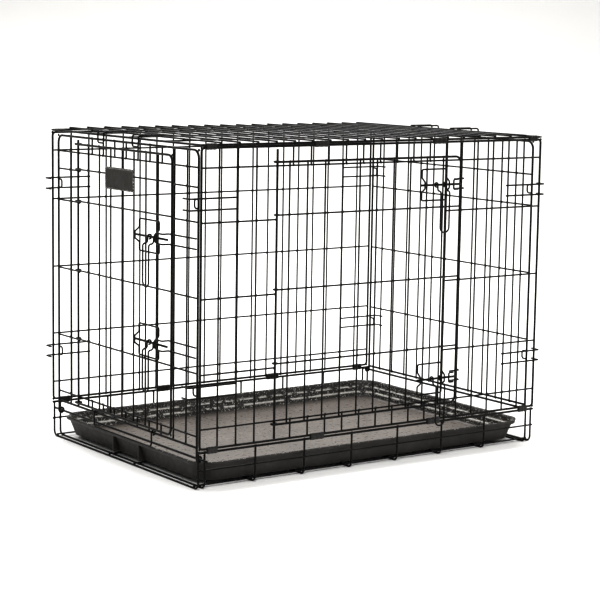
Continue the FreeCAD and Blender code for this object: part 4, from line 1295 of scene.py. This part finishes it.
class CRATE_OT_stage(CrateOperator, bpy.types.Operator):
    """Pale floor that runs up into a backdrop, soft lights and the camera"""

    bl_idname = "crate.stage"
    bl_label = "Stage"

    def execute(self, context):
        scene = context.scene
        colours = scene.crate_colours
        view = scene.crate_view
        steps = np.linspace(0, np.pi / 2, 16)
        reach, bend, near, far = 9.0, 3.0, -2.0, 2.6
        profile = np.array([(-reach, 0.0), (near, 0.0)]
                           + [(far + bend * math.sin(s), bend * (1 - math.cos(s))) for s in steps]
                           + [(far + bend, reach)])
        turn = view.azimuth
        away = np.array((-math.sin(turn), math.cos(turn)))
        across = np.array((away[1], -away[0]))
        wide = np.array((-reach, reach))
        points = np.array([(*(depth * away + aside * across), height)
                           for depth, height in profile for aside in wide])
        index = np.arange(len(profile) - 1) * 2
        quads = np.stack([index, index + 1, index + 3, index + 2], axis=-1)
        mesh = bpy.data.meshes.new("studio_sweep")
        mesh.from_pydata(points.tolist(), [], quads.tolist())
        mesh.shade_smooth()
        paper = Finish("pale_paper", 0.85)
        soft = paper.noise(3.0, 2.0)
        tone = paper.blended(paper.ranged(soft, "Fac", 0.3, 0.7, 0.0, 1.0), "Result", colours.floor,
                             scaled(colours.floor, 0.985))
        paper.coloured(tone)
        mesh.materials.append(paper.material)
        sweep = bpy.data.objects.new("studio_sweep", mesh)
        scene.collection.objects.link(sweep)

        world = bpy.data.worlds.new("soft_room")
        world.use_nodes = True
        background = world.node_tree.nodes["Background"]
        background.inputs["Color"].default_value = (1.0, 0.99, 0.975, 1)
        background.inputs["Strength"].default_value = ROOM_LIGHT
        scene.world = world

        for name, place, lit, size, power in LAMPS:
            light = bpy.data.lights.new(name, "AREA")
            light.shape = "RECTANGLE"
            light.size, light.size_y = size
            light.energy = power
            held = bpy.data.objects.new(name, light)
            held.location = place
            held.rotation_euler = (Vector(lit) - Vector(place)).to_track_quat("-Z", "Y").to_euler()
            scene.collection.objects.link(held)

        aim = Vector((view.aim_aside, 0, view.aim_height))
        level = math.cos(view.elevation)
        back = Vector((math.sin(turn) * level, -math.cos(turn) * level, math.sin(view.elevation)))
        right = (-back).cross(Vector((0, 0, 1))).normalized()
        up = right.cross(-back)
        c, s = math.cos(view.roll), math.sin(view.roll)
        rolled_right = c * right + s * up
        rolled_up = c * up - s * right
        camera = bpy.data.cameras.new("camera")
        camera.lens = view.lens
        camera.sensor_width = 36
        camera.clip_end = 60
        stand = bpy.data.objects.new("camera", camera)
        turned = Matrix((rolled_right, rolled_up, back)).transposed().to_4x4()
        stand.matrix_world = Matrix.Translation(aim + back * view.distance) @ turned
        scene.collection.objects.link(stand)
        scene.camera = stand
        scene.view_settings.view_transform = "Standard"
        scene.view_settings.exposure = EXPOSURE
        scene.view_settings.gamma = GAMMA
        return {"FINISHED"}


class CRATE_PT_makers(bpy.types.Panel):
    """The makers of the crate's pieces"""

    bl_idname = "CRATE_PT_makers"
    bl_label = "Wire Dog Crate"
    bl_space_type = "VIEW_3D"
    bl_region_type = "UI"
    bl_category = "Dog Crate"

    def draw(self, context):
        for maker in MAKERS:
            self.layout.operator(maker.bl_idname)
        for group in (context.scene.crate_sizes, context.scene.crate_colours, context.scene.crate_view):
            for key in type(group).__annotations__:
                self.layout.prop(group, key)


GROUPS = {"crate_sizes": CrateSizes, "crate_colours": CrateColours, "crate_view": CrateView}
MAKERS = (CRATE_OT_panels, CRATE_OT_hooks, CRATE_OT_lid, CRATE_OT_doors, CRATE_OT_bolts, CRATE_OT_base,
          CRATE_OT_clips, CRATE_OT_pan, CRATE_OT_plate, CRATE_OT_stage)


def register():
    for kind in (*GROUPS.values(), *MAKERS, CRATE_PT_makers):
        bpy.utils.register_class(kind)
    for name, group in GROUPS.items():
        setattr(bpy.types.Scene, name, PointerProperty(type=group))


def unregister():
    for name in GROUPS:
        delattr(bpy.types.Scene, name)
    for kind in (CRATE_PT_makers, *reversed(MAKERS), *reversed(GROUPS.values())):
        bpy.utils.unregister_class(kind)


def main():
    register()
    bpy.ops.crate.panels()
    bpy.ops.crate.hooks()
    bpy.ops.crate.lid()
    bpy.ops.crate.doors()
    bpy.ops.crate.bolts()
    bpy.ops.crate.base()
    bpy.ops.crate.clips()
    bpy.ops.crate.pan()
    bpy.ops.crate.plate()
    bpy.ops.crate.stage()


if __name__ == "__main__":
    main()
